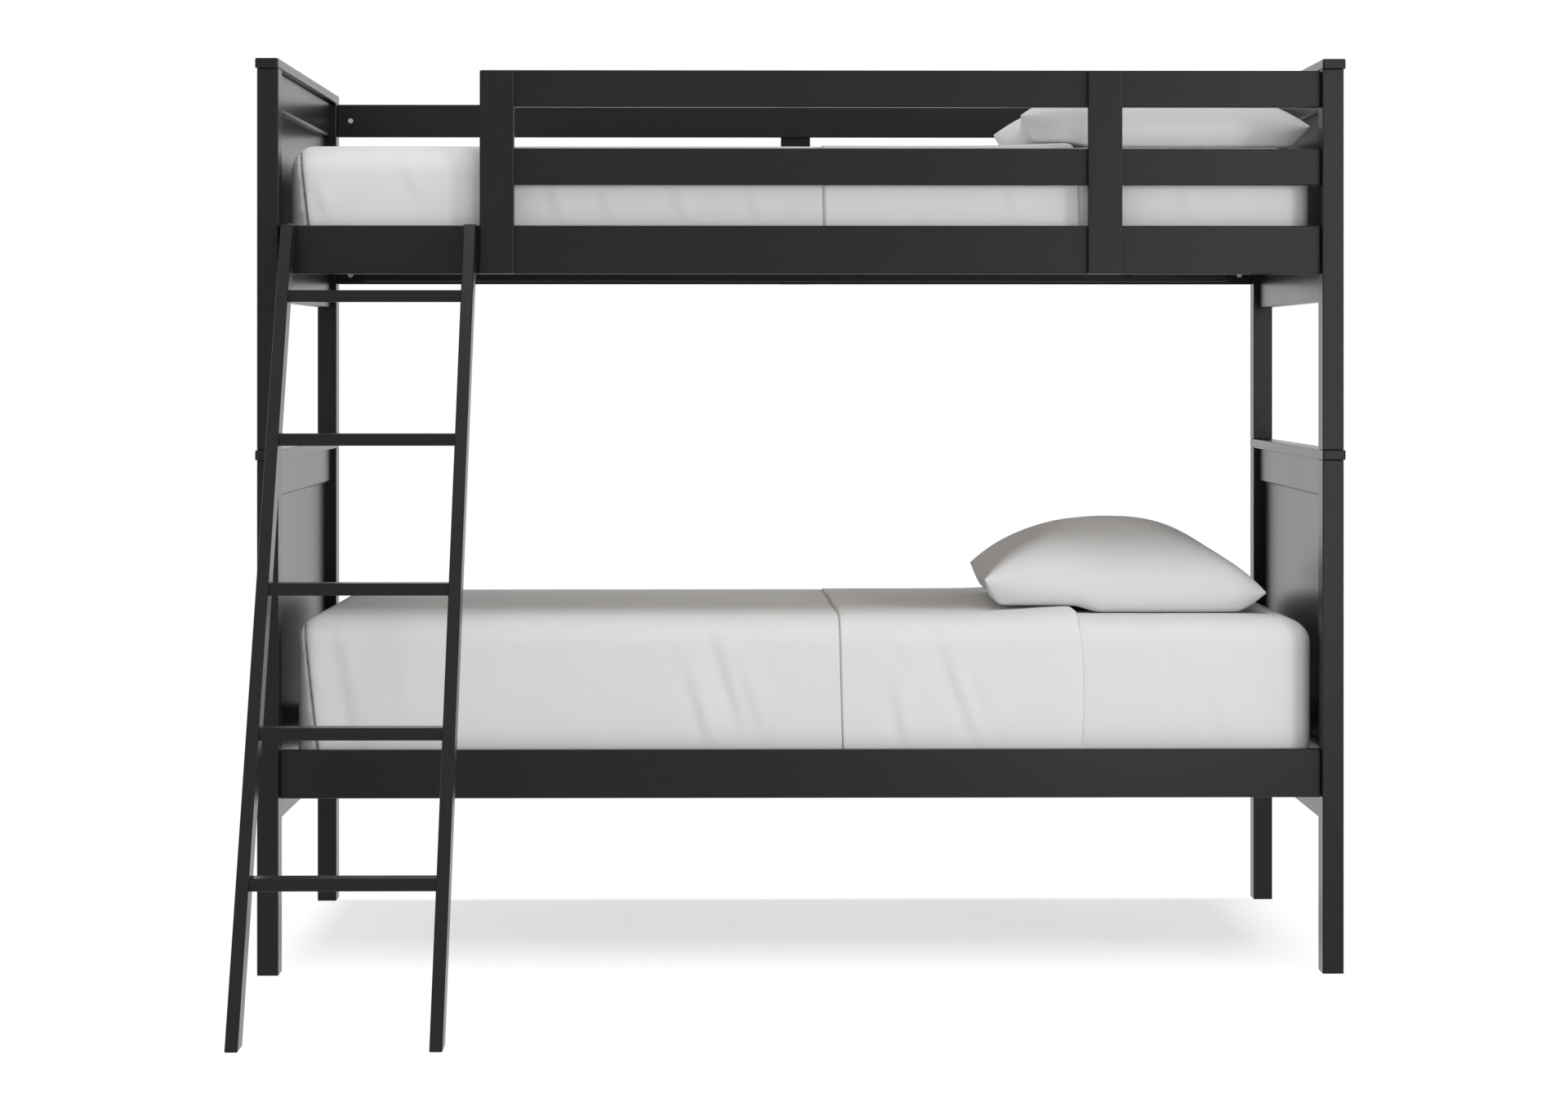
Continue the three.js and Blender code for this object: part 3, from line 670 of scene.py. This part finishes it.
HEM_TURN, HEM_LEAN = 0.02, 0.025  # slopes of the hem: seen from above, and seen from the front
HEM_CUTS = (0.0, -0.6, -2.6, -4.4, -7.0)  # in millimetres, past the hem towards the head
FOLD_TOWARDS = Vector((1.0, 0.0, 0.02)).normalized()  # square to the fold, towards the head
FOLD_CUTS = (0.0012, 0.0045, 0.0090, 0.0140)  # in metres, before the fold, where the cloth bends
FOLD_OVERHANG = 1.8 * MM  # of the rounded edge, past the fold
SWELL_REACH, BEND_REACH = 0.110, 0.016  # from the fold to where the swelling fades, and to where it is full
BOW, BOW_REACH = 0.007, 0.060  # how far the fold bows towards the head on the sides of the bed
MITRE_X = {"lower": 0.0165, "upper": 0.0225}  # of the corner fold at its top, from the foot of the mattress
MITRE_TOWARDS = Vector((1.0, 0.0, 0.113)).normalized()  # square to the corner fold, towards the head
MITRE_CUTS = (0.0, 1.5, 5.5, -5.0, -7.5)  # in millimetres, past the corner fold towards the head
MITRE_DROP = 0.010  # from the top of the mattress to the top of the corner fold
MITRE_GROOVE = 13.0 * MM  # how deep the cloth is pressed in behind the corner fold
FLAP_STAND, FLAP_LENGTH = 3.2 * MM, 0.22  # how far the flap stands off, and where it lies flat again
FLAP_HEM, FLAP_HEM_REACH = 2.6 * MM, 0.004  # how far the edge of the flap turns back in
FRONT_RISE = {"lower": 0.003, "upper": 0.0}  # how far the top stands higher at the front than at the back
PLAN_POWER = 2.5  # of the rounded corners seen from above: 2 is an ellipse, and more is squarer
# Creases on the front: X and Z of the high end, X and Z of the low end, width, depth.
CREASES = {
    "lower": (
        (-0.167, 0.640, -0.107, 0.440, 0.012, 0.0042),
        (-0.130, 0.600, -0.066, 0.430, 0.016, 0.0026),
        (-0.215, 0.570, -0.167, 0.400, 0.011, 0.0032),
        (0.176, 0.620, 0.188, 0.580, 0.009, 0.0016),
        (0.170, 0.540, 0.197, 0.400, 0.012, 0.0034),
        (0.256, 0.625, 0.335, 0.405, 0.012, 0.0034),
        (0.305, 0.600, 0.372, 0.430, 0.014, 0.0014),
        (-0.868, 0.650, -0.825, 0.420, 0.018, 0.0032),
        (-0.760, 0.600, -0.735, 0.420, 0.018, 0.0012),
        (0.770, 0.520, 0.795, 0.400, 0.013, 0.0014),
    ),
    "upper": (
        (-0.908, 1.475, -0.883, 1.390, 0.012, 0.0022),
        (-0.750, 1.516, -0.712, 1.430, 0.012, 0.0018),
        (-0.622, 1.515, -0.580, 1.420, 0.012, 0.0030),
        (-0.475, 1.480, -0.445, 1.385, 0.012, 0.0026),
        (-0.385, 1.480, -0.352, 1.385, 0.012, 0.0020),
        (-0.245, 1.480, -0.215, 1.385, 0.014, 0.0026),
        (-0.105, 1.480, -0.078, 1.385, 0.012, 0.0020),
        (0.380, 1.480, 0.405, 1.385, 0.012, 0.0022),
        (0.700, 1.490, 0.730, 1.380, 0.012, 0.0016),
    ),
}


def limited(value, low, high):
    return max(low, min(high, value))


def faded(distance, reach):
    """1 at no distance, and next to nothing beyond twice the reach."""
    return math.exp(-((distance / reach) ** 2))


class Cushion:
    """A soft block with rounded corners and rims, on which sheets are laid."""

    def __init__(self, bed):
        self.bed, self.sizes = bed, settings("bedding")
        low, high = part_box(f"{bed}_mattress")
        slack = self.sizes.side_slack
        self.low = low + Vector((self.own("foot_slack"), slack, slack / 2))
        self.high = high - Vector((self.own("head_slack"), slack, slack))
        self.turn_down, self.fold_height = self.own("turn_down"), self.own("fold_height")
        self.fold_x = self.high.x - self.own("fold")
        self.fold_at = Vector((self.fold_x, 0.0, self.high.z))
        self.hem_at = Vector((self.fold_x - self.turn_down, self.low.y, (self.low.z + self.high.z) / 2))

    def own(self, setting):
        """One of the settings that each bed has for itself."""
        return getattr(self.sizes, f"{self.bed}_{setting}")

    def blank(self, steps):
        """The box of the block, cut into a grid of about the given steps."""
        size = self.high - self.low
        bm = bmesh.new()
        bmesh.ops.create_cube(bm, size=1.0)
        bmesh.ops.scale(bm, vec=size, verts=bm.verts)
        bmesh.ops.translate(bm, vec=(self.low + self.high) / 2, verts=bm.verts)
        for axis, step in enumerate(steps):
            edges = [e for e in bm.edges if abs(e.verts[0].co[axis] - e.verts[1].co[axis]) > size[axis] * 0.9]
            bmesh.ops.subdivide_edges(bm, edges=edges, cuts=round(size[axis] / step), use_grid_fill=True)
        return bm

    def round_off(self, bm):
        """Rounds the rims and corners, and crowns the top."""
        sizes, middle, half = self.sizes, (self.low + self.high) / 2, (self.high - self.low) / 2
        for vert in bm.verts:
            place = vert.co - middle
            radii = (
                sizes.head_rounding if place.x > 0 else sizes.foot_rounding,
                sizes.side_rounding,
                sizes.top_rounding if place.z > 0 else sizes.base_rounding,
            )
            over = Vector([max(0.0, abs(c) - h + r) / r for c, h, r in zip(place, half, radii)])
            plan = (over.x**PLAN_POWER + over.y**PLAN_POWER) ** (1.0 / PLAN_POWER)
            reach = max(over) / math.hypot(plan, over.z) if over.length > 0 else 1.0
            for axis in range(3):
                if over[axis] > 0:
                    out = half[axis] - radii[axis] * (1.0 - over[axis] * reach)
                    place[axis] = math.copysign(out, place[axis])
            swell = max(0.0, 1.0 - (place.x / half.x) ** 2) * max(0.0, 1.0 - (place.y / half.y) ** 2)
            lean = FRONT_RISE[self.bed] * (0.5 - 0.5 * place.y / half.y)
            place.z += (sizes.crown * swell + lean) * limited(place.z / half.z, 0.0, 1.0)
            vert.co = middle + place

    def groove_at_hem(self, bm):
        """Cuts the bedding along the hem of the turned-down sheet, and presses a groove beside it."""
        towards = Vector((1.0, HEM_TURN, 0.0)).normalized()
        for distance in HEM_CUTS:
            cut(bm, self.hem_at + towards * distance * MM, towards)
        bm.normal_update()
        for vert in bm.verts:
            distance = (vert.co - self.hem_at).dot(towards)
            if -3.0 * MM < distance < -0.3 * MM:
                vert.co -= vert.normal * self.own("hem_groove")
            vert.co.x -= HEM_LEAN * (vert.co.z - self.hem_at.z) * faded(distance, 0.060)

    def is_before_hem(self, point):
        place = point - self.hem_at
        return place.x + HEM_TURN * place.y + HEM_LEAN * place.z < 0.0

    def before_fold(self, point):
        """How far a point lies before the fold, towards the foot."""
        return (self.fold_at - point).dot(FOLD_TOWARDS)

    def crease(self, bm, seed):
        """Presses long creases into the front, and ripples the cloth a little all over."""
        lines = [Crease(*row) for row in CREASES[self.bed]]
        bm.normal_update()
        moves = []
        for vert in bm.verts:
            place, normal = vert.co, vert.normal
            sideways = 1.0 - abs(normal.z)
            flow = Vector((place.x * 9.0 + place.z * 2.6, place.y * 6.0, place.z * 1.3 + seed))
            ripple = noise.noise(flow) * 1.5 + noise.noise(flow * 2.3) * 0.5
            where = 0.5 + 0.5 * noise.noise(Vector((place.x * 2.1, place.y * 2.1, seed * 3.7)))
            depth = ripple * where * (0.35 + 0.9 * sideways) * MM
            if normal.y < -0.4:
                depth += sum(line.depth_at(place.x, place.z) for line in lines)
            low_fade = limited((place.z - self.low.z - 0.02) / 0.05, 0.0, 1.0)
            moves.append(normal * depth * low_fade)
        for vert, move in zip(bm.verts, moves):
            vert.co += move


class Crease:
    """A soft step in the cloth on the front of a bed, from a high point to a low point."""

    def __init__(self, high_x, high_z, low_x, low_z, width, depth):
        self.start = Vector((high_x, high_z))
        self.run = Vector((low_x, low_z)) - self.start
        self.width, self.depth = width, depth

    def depth_at(self, x, z):
        """How far the cloth is pushed in on one side of the line, and out on the other."""
        place = Vector((x, z)) - self.start
        along = place.dot(self.run) / self.run.length_squared
        if not -0.25 < along < 1.25:
            return 0.0
        aside = (place.x * self.run.y - place.y * self.run.x) / self.run.length / self.width
        fade = math.cos(limited((along - 0.5) / 1.5, -0.5, 0.5) * math.pi) ** 2
        return -self.depth * fade * math.tanh(2.2 * aside) * faded(aside, 2.0)


def bulge(reach, flatness=0.0):
    """From 0 to 1 as the reach does, in a quarter circle, or in a straight line if flatness is 1."""
    reach = limited(reach, 0.0, 1.0)
    return math.sqrt(1.0 - (1.0 - reach) ** 2) * (1.0 - flatness) + reach * flatness


def eased(value):
    """From 0 to 1 as the value does, with a smooth start and finish."""
    value = limited(value, 0.0, 1.0)
    return value * value * (3.0 - 2.0 * value)


def soft_minimum(first, second, sharpness):
    """The smaller of two shares, rounded where they meet; 1 where both are 1."""
    a, b = max(first, 1e-6) ** sharpness, max(second, 1e-6) ** sharpness
    return first * second / (a + b - a * b) ** (1.0 / sharpness)


def lay_out_weave(bm):
    """A UV map in metres, laid on from the side that each face looks towards."""
    bm.normal_update()
    weave = bm.loops.layers.uv.new("weave")
    for face in bm.faces:
        facing_axis = max(range(3), key=lambda axis: abs(face.normal[axis]))
        across, along = (axis for axis in range(3) if axis != facing_axis)
        for loop in face.loops:
            loop[weave].uv = (loop.vert.co[across], loop.vert.co[along])


def sewn(bm, name, cloth, bed):
    """A finished piece of bedding on one of the beds."""
    lay_out_weave(bm)
    return finished(bm, name, cloth, body_name(bed), math.pi)


def cut(bm, point, direction, clear_outer=False):
    geometry = bm.verts[:] + bm.edges[:] + bm.faces[:]
    bmesh.ops.bisect_plane(bm, geom=geometry, plane_co=point, plane_no=direction, clear_outer=clear_outer)


def joined(first, second):
    """Adds the second bmesh to the first and frees it."""
    mesh = as_mesh(second, "joined")
    first.from_mesh(mesh)
    bpy.data.meshes.remove(mesh)


class BUNKBED_OT_make_beds(bpy.types.Operator):
    """Dress both mattresses in a fitted sheet, and lay a flat sheet turned down over each"""

    bl_idname = "bunkbed.make_beds"
    bl_label = "Mattresses and sheets"

    def execute(self, context):
        cotton = cotton_cloth("white_cotton")
        fitted = cotton_cloth("fitted_cotton", 0.99)
        for bed, seed in (("lower", 1.0), ("upper", 5.0)):
            block = Cushion(bed)
            step = block.sizes.cloth_step
            source = block.blank((step * 0.75, step * 1.2, step * 0.75))
            block.round_off(source)
            block.crease(source, seed)
            block.groove_at_hem(source)
            self.add_sheet(source, block, cotton)
            self.tuck_corners(source, block, is_sheet=False)
            mattress = sewn(source, f"{bed}_mattress_fitted_sheet", fitted, bed)
            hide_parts(f"{bed}_mattress")
        return {"FINISHED"}

    def add_sheet(self, source, block, cotton):
        """The sheet runs from under the foot to the fold, and back over itself to its hem."""
        bed, sizes = block.bed, block.sizes
        under = self.spread(source, block)
        cut(under, block.fold_at, FOLD_TOWARDS, clear_outer=True)
        self.tuck_corners(under, block, is_sheet=True)
        over = self.spread(source, block)
        cut(over, block.fold_at, FOLD_TOWARDS, clear_outer=True)
        before = [face for face in over.faces if block.is_before_hem(face.calc_center_median())]
        bmesh.ops.delete(over, geom=before, context="FACES")
        for distance in FOLD_CUTS:
            cut(over, block.fold_at - FOLD_TOWARDS * distance, FOLD_TOWARDS)
        self.lift(under, block, sizes.sheet_gap, 0.6 * MM)
        self.lift(over, block, sizes.hem_height, block.fold_height - sizes.hem_height)
        joined(under, over)
        self.close_fold(under, block)
        sheet = sewn(under, f"{bed}_flat_sheet", cotton, bed)
        thicken = sheet.modifiers.new("cloth_thickness", "SOLIDIFY")
        thicken.thickness, thicken.offset = sizes.sheet_thickness, 0.0

    def spread(self, source, block):
        """A copy of the mattress cover, tucked under as far as the sheet reaches."""
        copy = source.copy()
        low, high, sizes = block.low, block.high, block.sizes
        size = high - low
        side_tuck = (sizes.sheet_width - size.y) / 2 - size.z
        foot_tuck = sizes.sheet_length - size.z - (block.fold_x - low.x) - block.turn_down

        def is_bare(point):
            inside = min(point.y - low.y, high.y - point.y)
            return point.z < low.z + 1 * MM and inside > side_tuck and point.x - low.x > foot_tuck

        bare = [face for face in copy.faces if is_bare(face.calc_center_median())]
        bmesh.ops.delete(copy, geom=bare, context="FACES")
        return copy

    def lift(self, layer, block, height, swell):
        """Raises a layer of the sheet off the mattress, and swells it beside the fold."""
        layer.normal_update()
        for vert in layer.verts:
            distance = block.before_fold(vert.co)
            rise = faded(distance, SWELL_REACH) * swell * bulge(distance / BEND_REACH)
            flat = limited(vert.normal.z, 0.0, 1.0)
            bow = math.sin(limited((block.high.z - vert.co.z) / 0.25, 0.0, 1.0) * math.pi)
            vert.co += vert.normal * (height + rise * (0.3 + 0.7 * flat))
            vert.co.x += BOW * bow * faded(distance, BOW_REACH)

    def close_fold(self, sheet, block):
        """Joins the two layers along the fold, with a rounded edge."""
        edges = [edge for edge in sheet.edges if edge.is_boundary]
        brim = [e for e in edges if all(abs(block.before_fold(v.co)) < 1.2 * MM for v in e.verts)]
        bridged = bmesh.ops.bridge_loops(sheet, edges=brim)
        ties = dict.fromkeys(e for face in bridged["faces"] for e in face.edges if e not in brim)
        rounded = bmesh.ops.subdivide_edges(sheet, edges=list(ties), cuts=2)
        middle = [item for item in rounded["geom_inner"] if isinstance(item, bmesh.types.BMVert)]
        bmesh.ops.translate(sheet, vec=FOLD_TOWARDS * FOLD_OVERHANG, verts=middle)
        bmesh.ops.recalc_face_normals(sheet, faces=sheet.faces)

    def tuck_corners(self, bm, block, is_sheet):
        """Mitred corners at the foot: a steep fold whose flap stands proud of the tuck behind it."""
        low, high = block.low, block.high
        line_top = Vector((low.x + MITRE_X[block.bed], 0.0, high.z - MITRE_DROP))
        for distance in MITRE_CUTS:
            cut(bm, line_top + MITRE_TOWARDS * distance * MM, MITRE_TOWARDS)
        if is_sheet:
            self.open_mitre(bm, block, line_top)
        bm.normal_update()
        flap = set()
        for face in bm.faces:
            beyond = (face.calc_center_median() - line_top).dot(MITRE_TOWARDS)
            if is_sheet and abs(face.normal.y) > 0.35 and beyond > 0:
                flap.update(face.verts)
        behind = 3.0 * MM if is_sheet else 5.0 * MM
        for vert in bm.verts:
            away = (vert.co - line_top).dot(MITRE_TOWARDS)
            from_side = min(vert.co.y - low.y, high.y - vert.co.y)
            below = limited((line_top.z - vert.co.z) / 0.012, 0.0, 1.0)
            below *= limited((vert.co.z - low.z) / 0.05, 0.0, 1.0)
            out = 0.0
            if vert in flap:
                out = FLAP_STAND * limited(1.0 - away / FLAP_LENGTH, 0.0, 1.0) ** 1.5
                out -= FLAP_HEM * math.exp(-away / FLAP_HEM_REACH)
            elif away < 1e-5:
                groove = MITRE_GROOVE * limited((away / MM + 7.5) / 2.5, 0.0, 1.0)
                out = (0.65 * away - behind - groove) * limited(1.0 - from_side / 0.1, 0.0, 1.0)
            vert.co.y += out * below * math.copysign(1.0, vert.co.y - (low.y + high.y) / 2)

    def open_mitre(self, bm, block, line_top):
        """Splits the sheet along the corner folds, so that the flap can stand off."""

        def is_on_fold(point):
            is_outside = point.y < block.low.y + 0.03 or point.y > block.high.y - 0.03
            return abs((point - line_top).dot(MITRE_TOWARDS)) < 1e-5 and is_outside and point.z < line_top.z

        seam = [edge for edge in bm.edges if all(is_on_fold(vert.co) for vert in edge.verts)]
        bmesh.ops.split_edges(bm, edges=seam)


# ---- Pillows ----

CROWN_U = -0.037  # where the crown lies, from -1 at the foot end of the pillow to 1 at its head end
END_PULL, SIDE_PULL = 0.055, 0.030  # how far the middles of the ends and sides are drawn in
HEAD_LIFT_SHARE = 0.48  # of the corner lift, at the corners towards the head
HEAD_UNDER_REACH = {"lower": 0.050, "upper": 0.030}  # from the head end to where the underside lies flat
FOOT_UNDER_REACH, SIDE_UNDER_REACH = 0.027, 0.024  # the same from the foot end, and from the sides
CORNER_REACH = 0.110  # how far the raised corners of the seam reach
STEP_REACH = 0.050  # past the fold of the flat sheet, where the pillow steps down from it
CROWN_LIFT_SHARE = 0.62  # of the height of the fold, by which the sheet below lifts the top
CROWN_LIFT_START, CROWN_LIFT_REACH = 0.100, 0.170  # past the fold, where the lift starts; where it is full


def from_crown(u):
    """How far across the pillow a place lies, from 0 at the crown to 1 at the nearer end seam."""
    return (u - CROWN_U) / (1.0 - CROWN_U) if u > CROWN_U else (CROWN_U - u) / (1.0 + CROWN_U)


class BUNKBED_OT_add_pillows(bpy.types.Operator):
    """Add a plump pillow at the head of each bed"""

    bl_idname = "bunkbed.add_pillows"
    bl_label = "Pillows"

    def execute(self, context):
        # Painted shade: the pillows take the sheet cotton 4% darker, standing in for the dimmer light on
        # them.
        cotton = cotton_cloth("pillow_cotton", 0.96)
        for bed, seed in (("lower", 2.0), ("upper", 7.0)):
            bm = self.sewn_squares()
            self.fill(bm, Cushion(bed), seed)
            pillow = sewn(bm, f"{bed}_pillow_case", cotton, bed)
            smooth = pillow.modifiers.new("smooth", "SUBSURF")
            smooth.levels = smooth.render_levels = 1
            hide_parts(f"{bed}_pillow")
        return {"FINISHED"}

    def sewn_squares(self):
        """Two squares of cloth sewn together round their edges, one at z = 1 and one at z = -1."""
        bm = bmesh.new()
        for side in (1.0, -1.0):
            square = bmesh.new()
            bmesh.ops.create_grid(square, x_segments=56, y_segments=72, size=1.0)
            for vert in square.verts:
                x, y = vert.co.x, vert.co.y
                is_seam = max(abs(x), abs(y)) > 1.0 - 1e-6
                crowded = [0.25 * value + 0.75 * math.sin(value * math.pi / 2) for value in (x, y)]
                vert.co = (*crowded, 0.0 if is_seam else side)
            if side < 0:
                bmesh.ops.reverse_faces(square, faces=square.faces)
            joined(bm, square)
        bmesh.ops.remove_doubles(bm, verts=bm.verts, dist=1e-6)
        return bm

    def fill(self, bm, block, seed):
        """Fills the case, with hips that run up from the raised corners of its seam to the crown."""
        sizes, height, turn = block.sizes, block.own("pillow_height"), block.own("pillow_turn")
        low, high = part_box(f"{block.bed}_pillow")
        high.x -= block.own("pillow_slack")
        middle, half = (low + high) / 2, (high - low) / 2
        for vert in bm.verts:
            u, v, side = vert.co
            x = middle.x + half.x * u * (1.0 - END_PULL * (1.0 - v * v))
            x += turn * (1.0 + v) * (1.0 - u) / 4
            y = middle.y + half.y * v * (1.0 - SIDE_PULL * (1.0 - u * u))
            from_end, from_side = half.x * (1.0 - abs(u)), half.y * (1.0 - abs(v))
            corner = math.exp(-((from_end / CORNER_REACH) ** 2) - (from_side / CORNER_REACH) ** 2)
            lift = sizes.pillow_corner_lift if u < 0 else HEAD_LIFT_SHARE * sizes.pillow_corner_lift
            seam = sizes.pillow_seam + lift * corner
            on_sheet = block.fold_height * eased((block.fold_x + STEP_REACH - x) / STEP_REACH)
            if side > 0:
                before = block.fold_x + CROWN_LIFT_START - x
                lifted = block.fold_height * CROWN_LIFT_SHARE * eased(before / CROWN_LIFT_REACH)
                ripple = noise.noise(Vector((x * 7.0, y * 7.0, seed))) * 1.6 * MM
                z = seam + (height - seam + ripple + lifted - on_sheet) * self.fullness(u, v)
            else:
                sagged = 0.14 * eased(min(from_end, from_side) / 0.075)
                z = seam * (1.0 - 0.86 * self.underside(block.bed, u, v, from_end, from_side) - sagged)
            vert.co = (x, y, block.high.z + 1.0 * MM + on_sheet + z)

    def fullness(self, u, v):
        """How full the top is, from 0 at the seam to 1 at the crown."""
        reach = from_crown(u)
        at_side, at_end = v**6, reach**6
        to_head = u > CROWN_U
        if to_head:
            across = (1.0 - reach**2.6) ** 0.91
        else:
            across = (1.0 - reach**1.8) ** (0.62 + 0.34 * at_side)
        along = (1.0 - v * v) ** (0.42 + 0.48 * at_end)
        return soft_minimum(across, along, 4.0 if to_head else 8.0)

    def underside(self, bed, u, v, from_end, from_side):
        """How far the underside has come down, from 0 at the seam to 1 where it lies flat."""
        end_reach = HEAD_UNDER_REACH[bed] if u > CROWN_U else FOOT_UNDER_REACH
        under_end = bulge(from_end / end_reach, v**6)
        under_side = bulge(from_side / SIDE_UNDER_REACH, from_crown(u) ** 6)
        return soft_minimum(under_end, under_side, 6.0)


# ---- Stage ----

RAYS_THAT_SEE_WHITE = ("Is Camera Ray", "Is Glossy Ray", "Is Transmission Ray")
AIM = Vector((0.0, 0.0, 0.8))  # where the soft boxes point
FLOOR_RADIUS = 30.0
# The shade below the bed along X and Y, as (place from 0 to 1 on a floor 4 m wide, share of the shade).
SHADE_X = (0.248, 0.0), (0.268, 0.85), (0.40, 1.0), (0.715, 1.0), (0.752, 0.0)
SHADE_Y = (0.482, 0.0), (0.54, 0.6), (0.59, 1.0), (0.724, 1.0), (0.731, 0.0)
SHADE_DEPTH = 0.38


class BUNKBED_OT_set_stage(bpy.types.Operator):
    """Set up the camera, the soft boxes, the white room and the floor"""

    bl_idname = "bunkbed.set_stage"
    bl_label = "Stage"

    def execute(self, context):
        stage = settings("stage")
        context.scene.view_settings.view_transform = "Standard"
        self.add_camera(context, stage)
        self.add_soft_box("key_light", (4.8, -4.8, 2.3), 1.2, stage.key_power)
        self.add_soft_box("side_light", (2.7, -7.3, 2.0), 2.6, stage.side_power)
        self.add_soft_box("top_light", (0.0, -1.8, 6.5), 2.2, stage.top_power)
        self.add_soft_box("low_light", (1.2, -6.0, 0.42), 0.8, stage.low_power)
        self.add_room(context, stage)
        self.add_floor(stage)
        return {"FINISHED"}

    def add_camera(self, context, stage):
        camera = in_scene("camera", bpy.data.cameras.new("camera"))
        camera.location = (stage.camera_x, -stage.camera_distance, stage.camera_height)
        camera.rotation_euler = (math.pi / 2, 0.0, -stage.camera_yaw)
        camera.data.sensor_width = 36.0
        camera.data.lens = stage.lens
        camera.data.shift_x, camera.data.shift_y = stage.shift_x, stage.shift_y
        context.scene.camera = camera

    def add_soft_box(self, name, position, size, power):
        lamp = bpy.data.lights.new(name, "AREA")
        lamp.shape, lamp.size, lamp.energy = "DISK", size, power
        holder = in_scene(name, lamp)
        holder.location = position
        holder.rotation_euler = (AIM - Vector(position)).to_track_quat("-Z", "Y").to_euler()

    @staticmethod
    def seen_directly(graph):
        """1 for camera, mirror and glass rays, which see the white room, and 0 for the rest."""
        rays = [graph.node("ShaderNodeLightPath", output=name) for name in RAYS_THAT_SEE_WHITE]
        return (rays[0] + rays[1] + rays[2]).math("MINIMUM", 1.0)

    def add_room(self, context, stage):
        world = bpy.data.worlds.new("white_room")
        world.use_nodes = True
        context.scene.world = world
        graph = Graph(world.node_tree)
        background = world.node_tree.nodes["Background"]
        background.inputs["Color"].default_value = (1.0, 1.0, 1.0, 1.0)
        seen = self.seen_directly(graph)
        strength = seen * (1.0 - stage.room_light) + stage.room_light
        world.node_tree.links.new(strength.socket, background.inputs["Strength"])

    def add_floor(self, stage):
        """A floor that is seen as white, but for some of its real shade below the bed."""
        bm = bmesh.new()
        bmesh.ops.create_circle(bm, cap_ends=True, segments=64, radius=FLOOR_RADIUS)
        floor = in_scene("floor", as_mesh(bm, "floor"))
        floor.location.z = CAD_BOX[0][2] - 0.5 * MM
        material = bpy.data.materials.new("floor")
        material.use_nodes = True
        graph = Graph(material.node_tree)
        material.node_tree.nodes.clear()
        matt = graph.node("ShaderNodeBsdfDiffuse", None, {"Color": tuple(stage.floor) + (1.0,)})
        white = graph.node("ShaderNodeEmission", None, {"Color": (1.0, 1.0, 1.0, 1.0), "Strength": 1.0})
        x, y = graph.parts(graph.place(), 0, 1)
        shade = graph.ramp(x * 0.25 + 0.5, *SHADE_X) * graph.ramp(y * 0.25 + 0.5, *SHADE_Y)
        plain = self.seen_directly(graph) * (1.0 - shade * SHADE_DEPTH)
        surface = graph.node("ShaderNodeMixShader", None, [plain, matt, white])
        graph.node("ShaderNodeOutputMaterial", None, [surface], output=None)
        floor.data.materials.append(material)


# ---- Panel and registration ----

class BUNKBED_PT_panel(bpy.types.Panel):
    """Lists the settings and the steps in order"""

    bl_label = "Bunk Bed"
    bl_idname = "BUNKBED_PT_panel"
    bl_space_type = "VIEW_3D"
    bl_region_type = "UI"
    bl_category = "Bunk Bed"

    def draw(self, context):
        for name, group in SETTINGS.items():
            box = self.layout.box()
            box.label(text=name.title())
            for field in group.__annotations__:
                box.prop(getattr(context.scene, f"bunkbed_{name}"), field)
        for step in STEPS:
            self.layout.operator(step.bl_idname)


SETTINGS = {
    "finish": BUNKBED_PG_finish,
    "fixings": BUNKBED_PG_fixings,
    "bedding": BUNKBED_PG_bedding,
    "stage": BUNKBED_PG_stage,
}
STEPS = (
    BUNKBED_OT_set_stage,
    BUNKBED_OT_paint_frame,
    BUNKBED_OT_add_bolts,
    BUNKBED_OT_add_screws,
    BUNKBED_OT_make_beds,
    BUNKBED_OT_add_pillows,
)


def register():
    for cls in (*SETTINGS.values(), *STEPS, BUNKBED_PT_panel):
        bpy.utils.register_class(cls)
    for name, group in SETTINGS.items():
        setattr(bpy.types.Scene, f"bunkbed_{name}", PointerProperty(type=group))


def unregister():
    for name in SETTINGS:
        delattr(bpy.types.Scene, f"bunkbed_{name}")
    for cls in reversed((*SETTINGS.values(), *STEPS, BUNKBED_PT_panel)):
        bpy.utils.unregister_class(cls)


def main():
    register()
    bpy.ops.bunkbed.set_stage()
    bpy.ops.bunkbed.paint_frame()
    bpy.ops.bunkbed.add_bolts()
    bpy.ops.bunkbed.add_screws()
    bpy.ops.bunkbed.make_beds()
    bpy.ops.bunkbed.add_pillows()


if __name__ == "__main__":
    main()
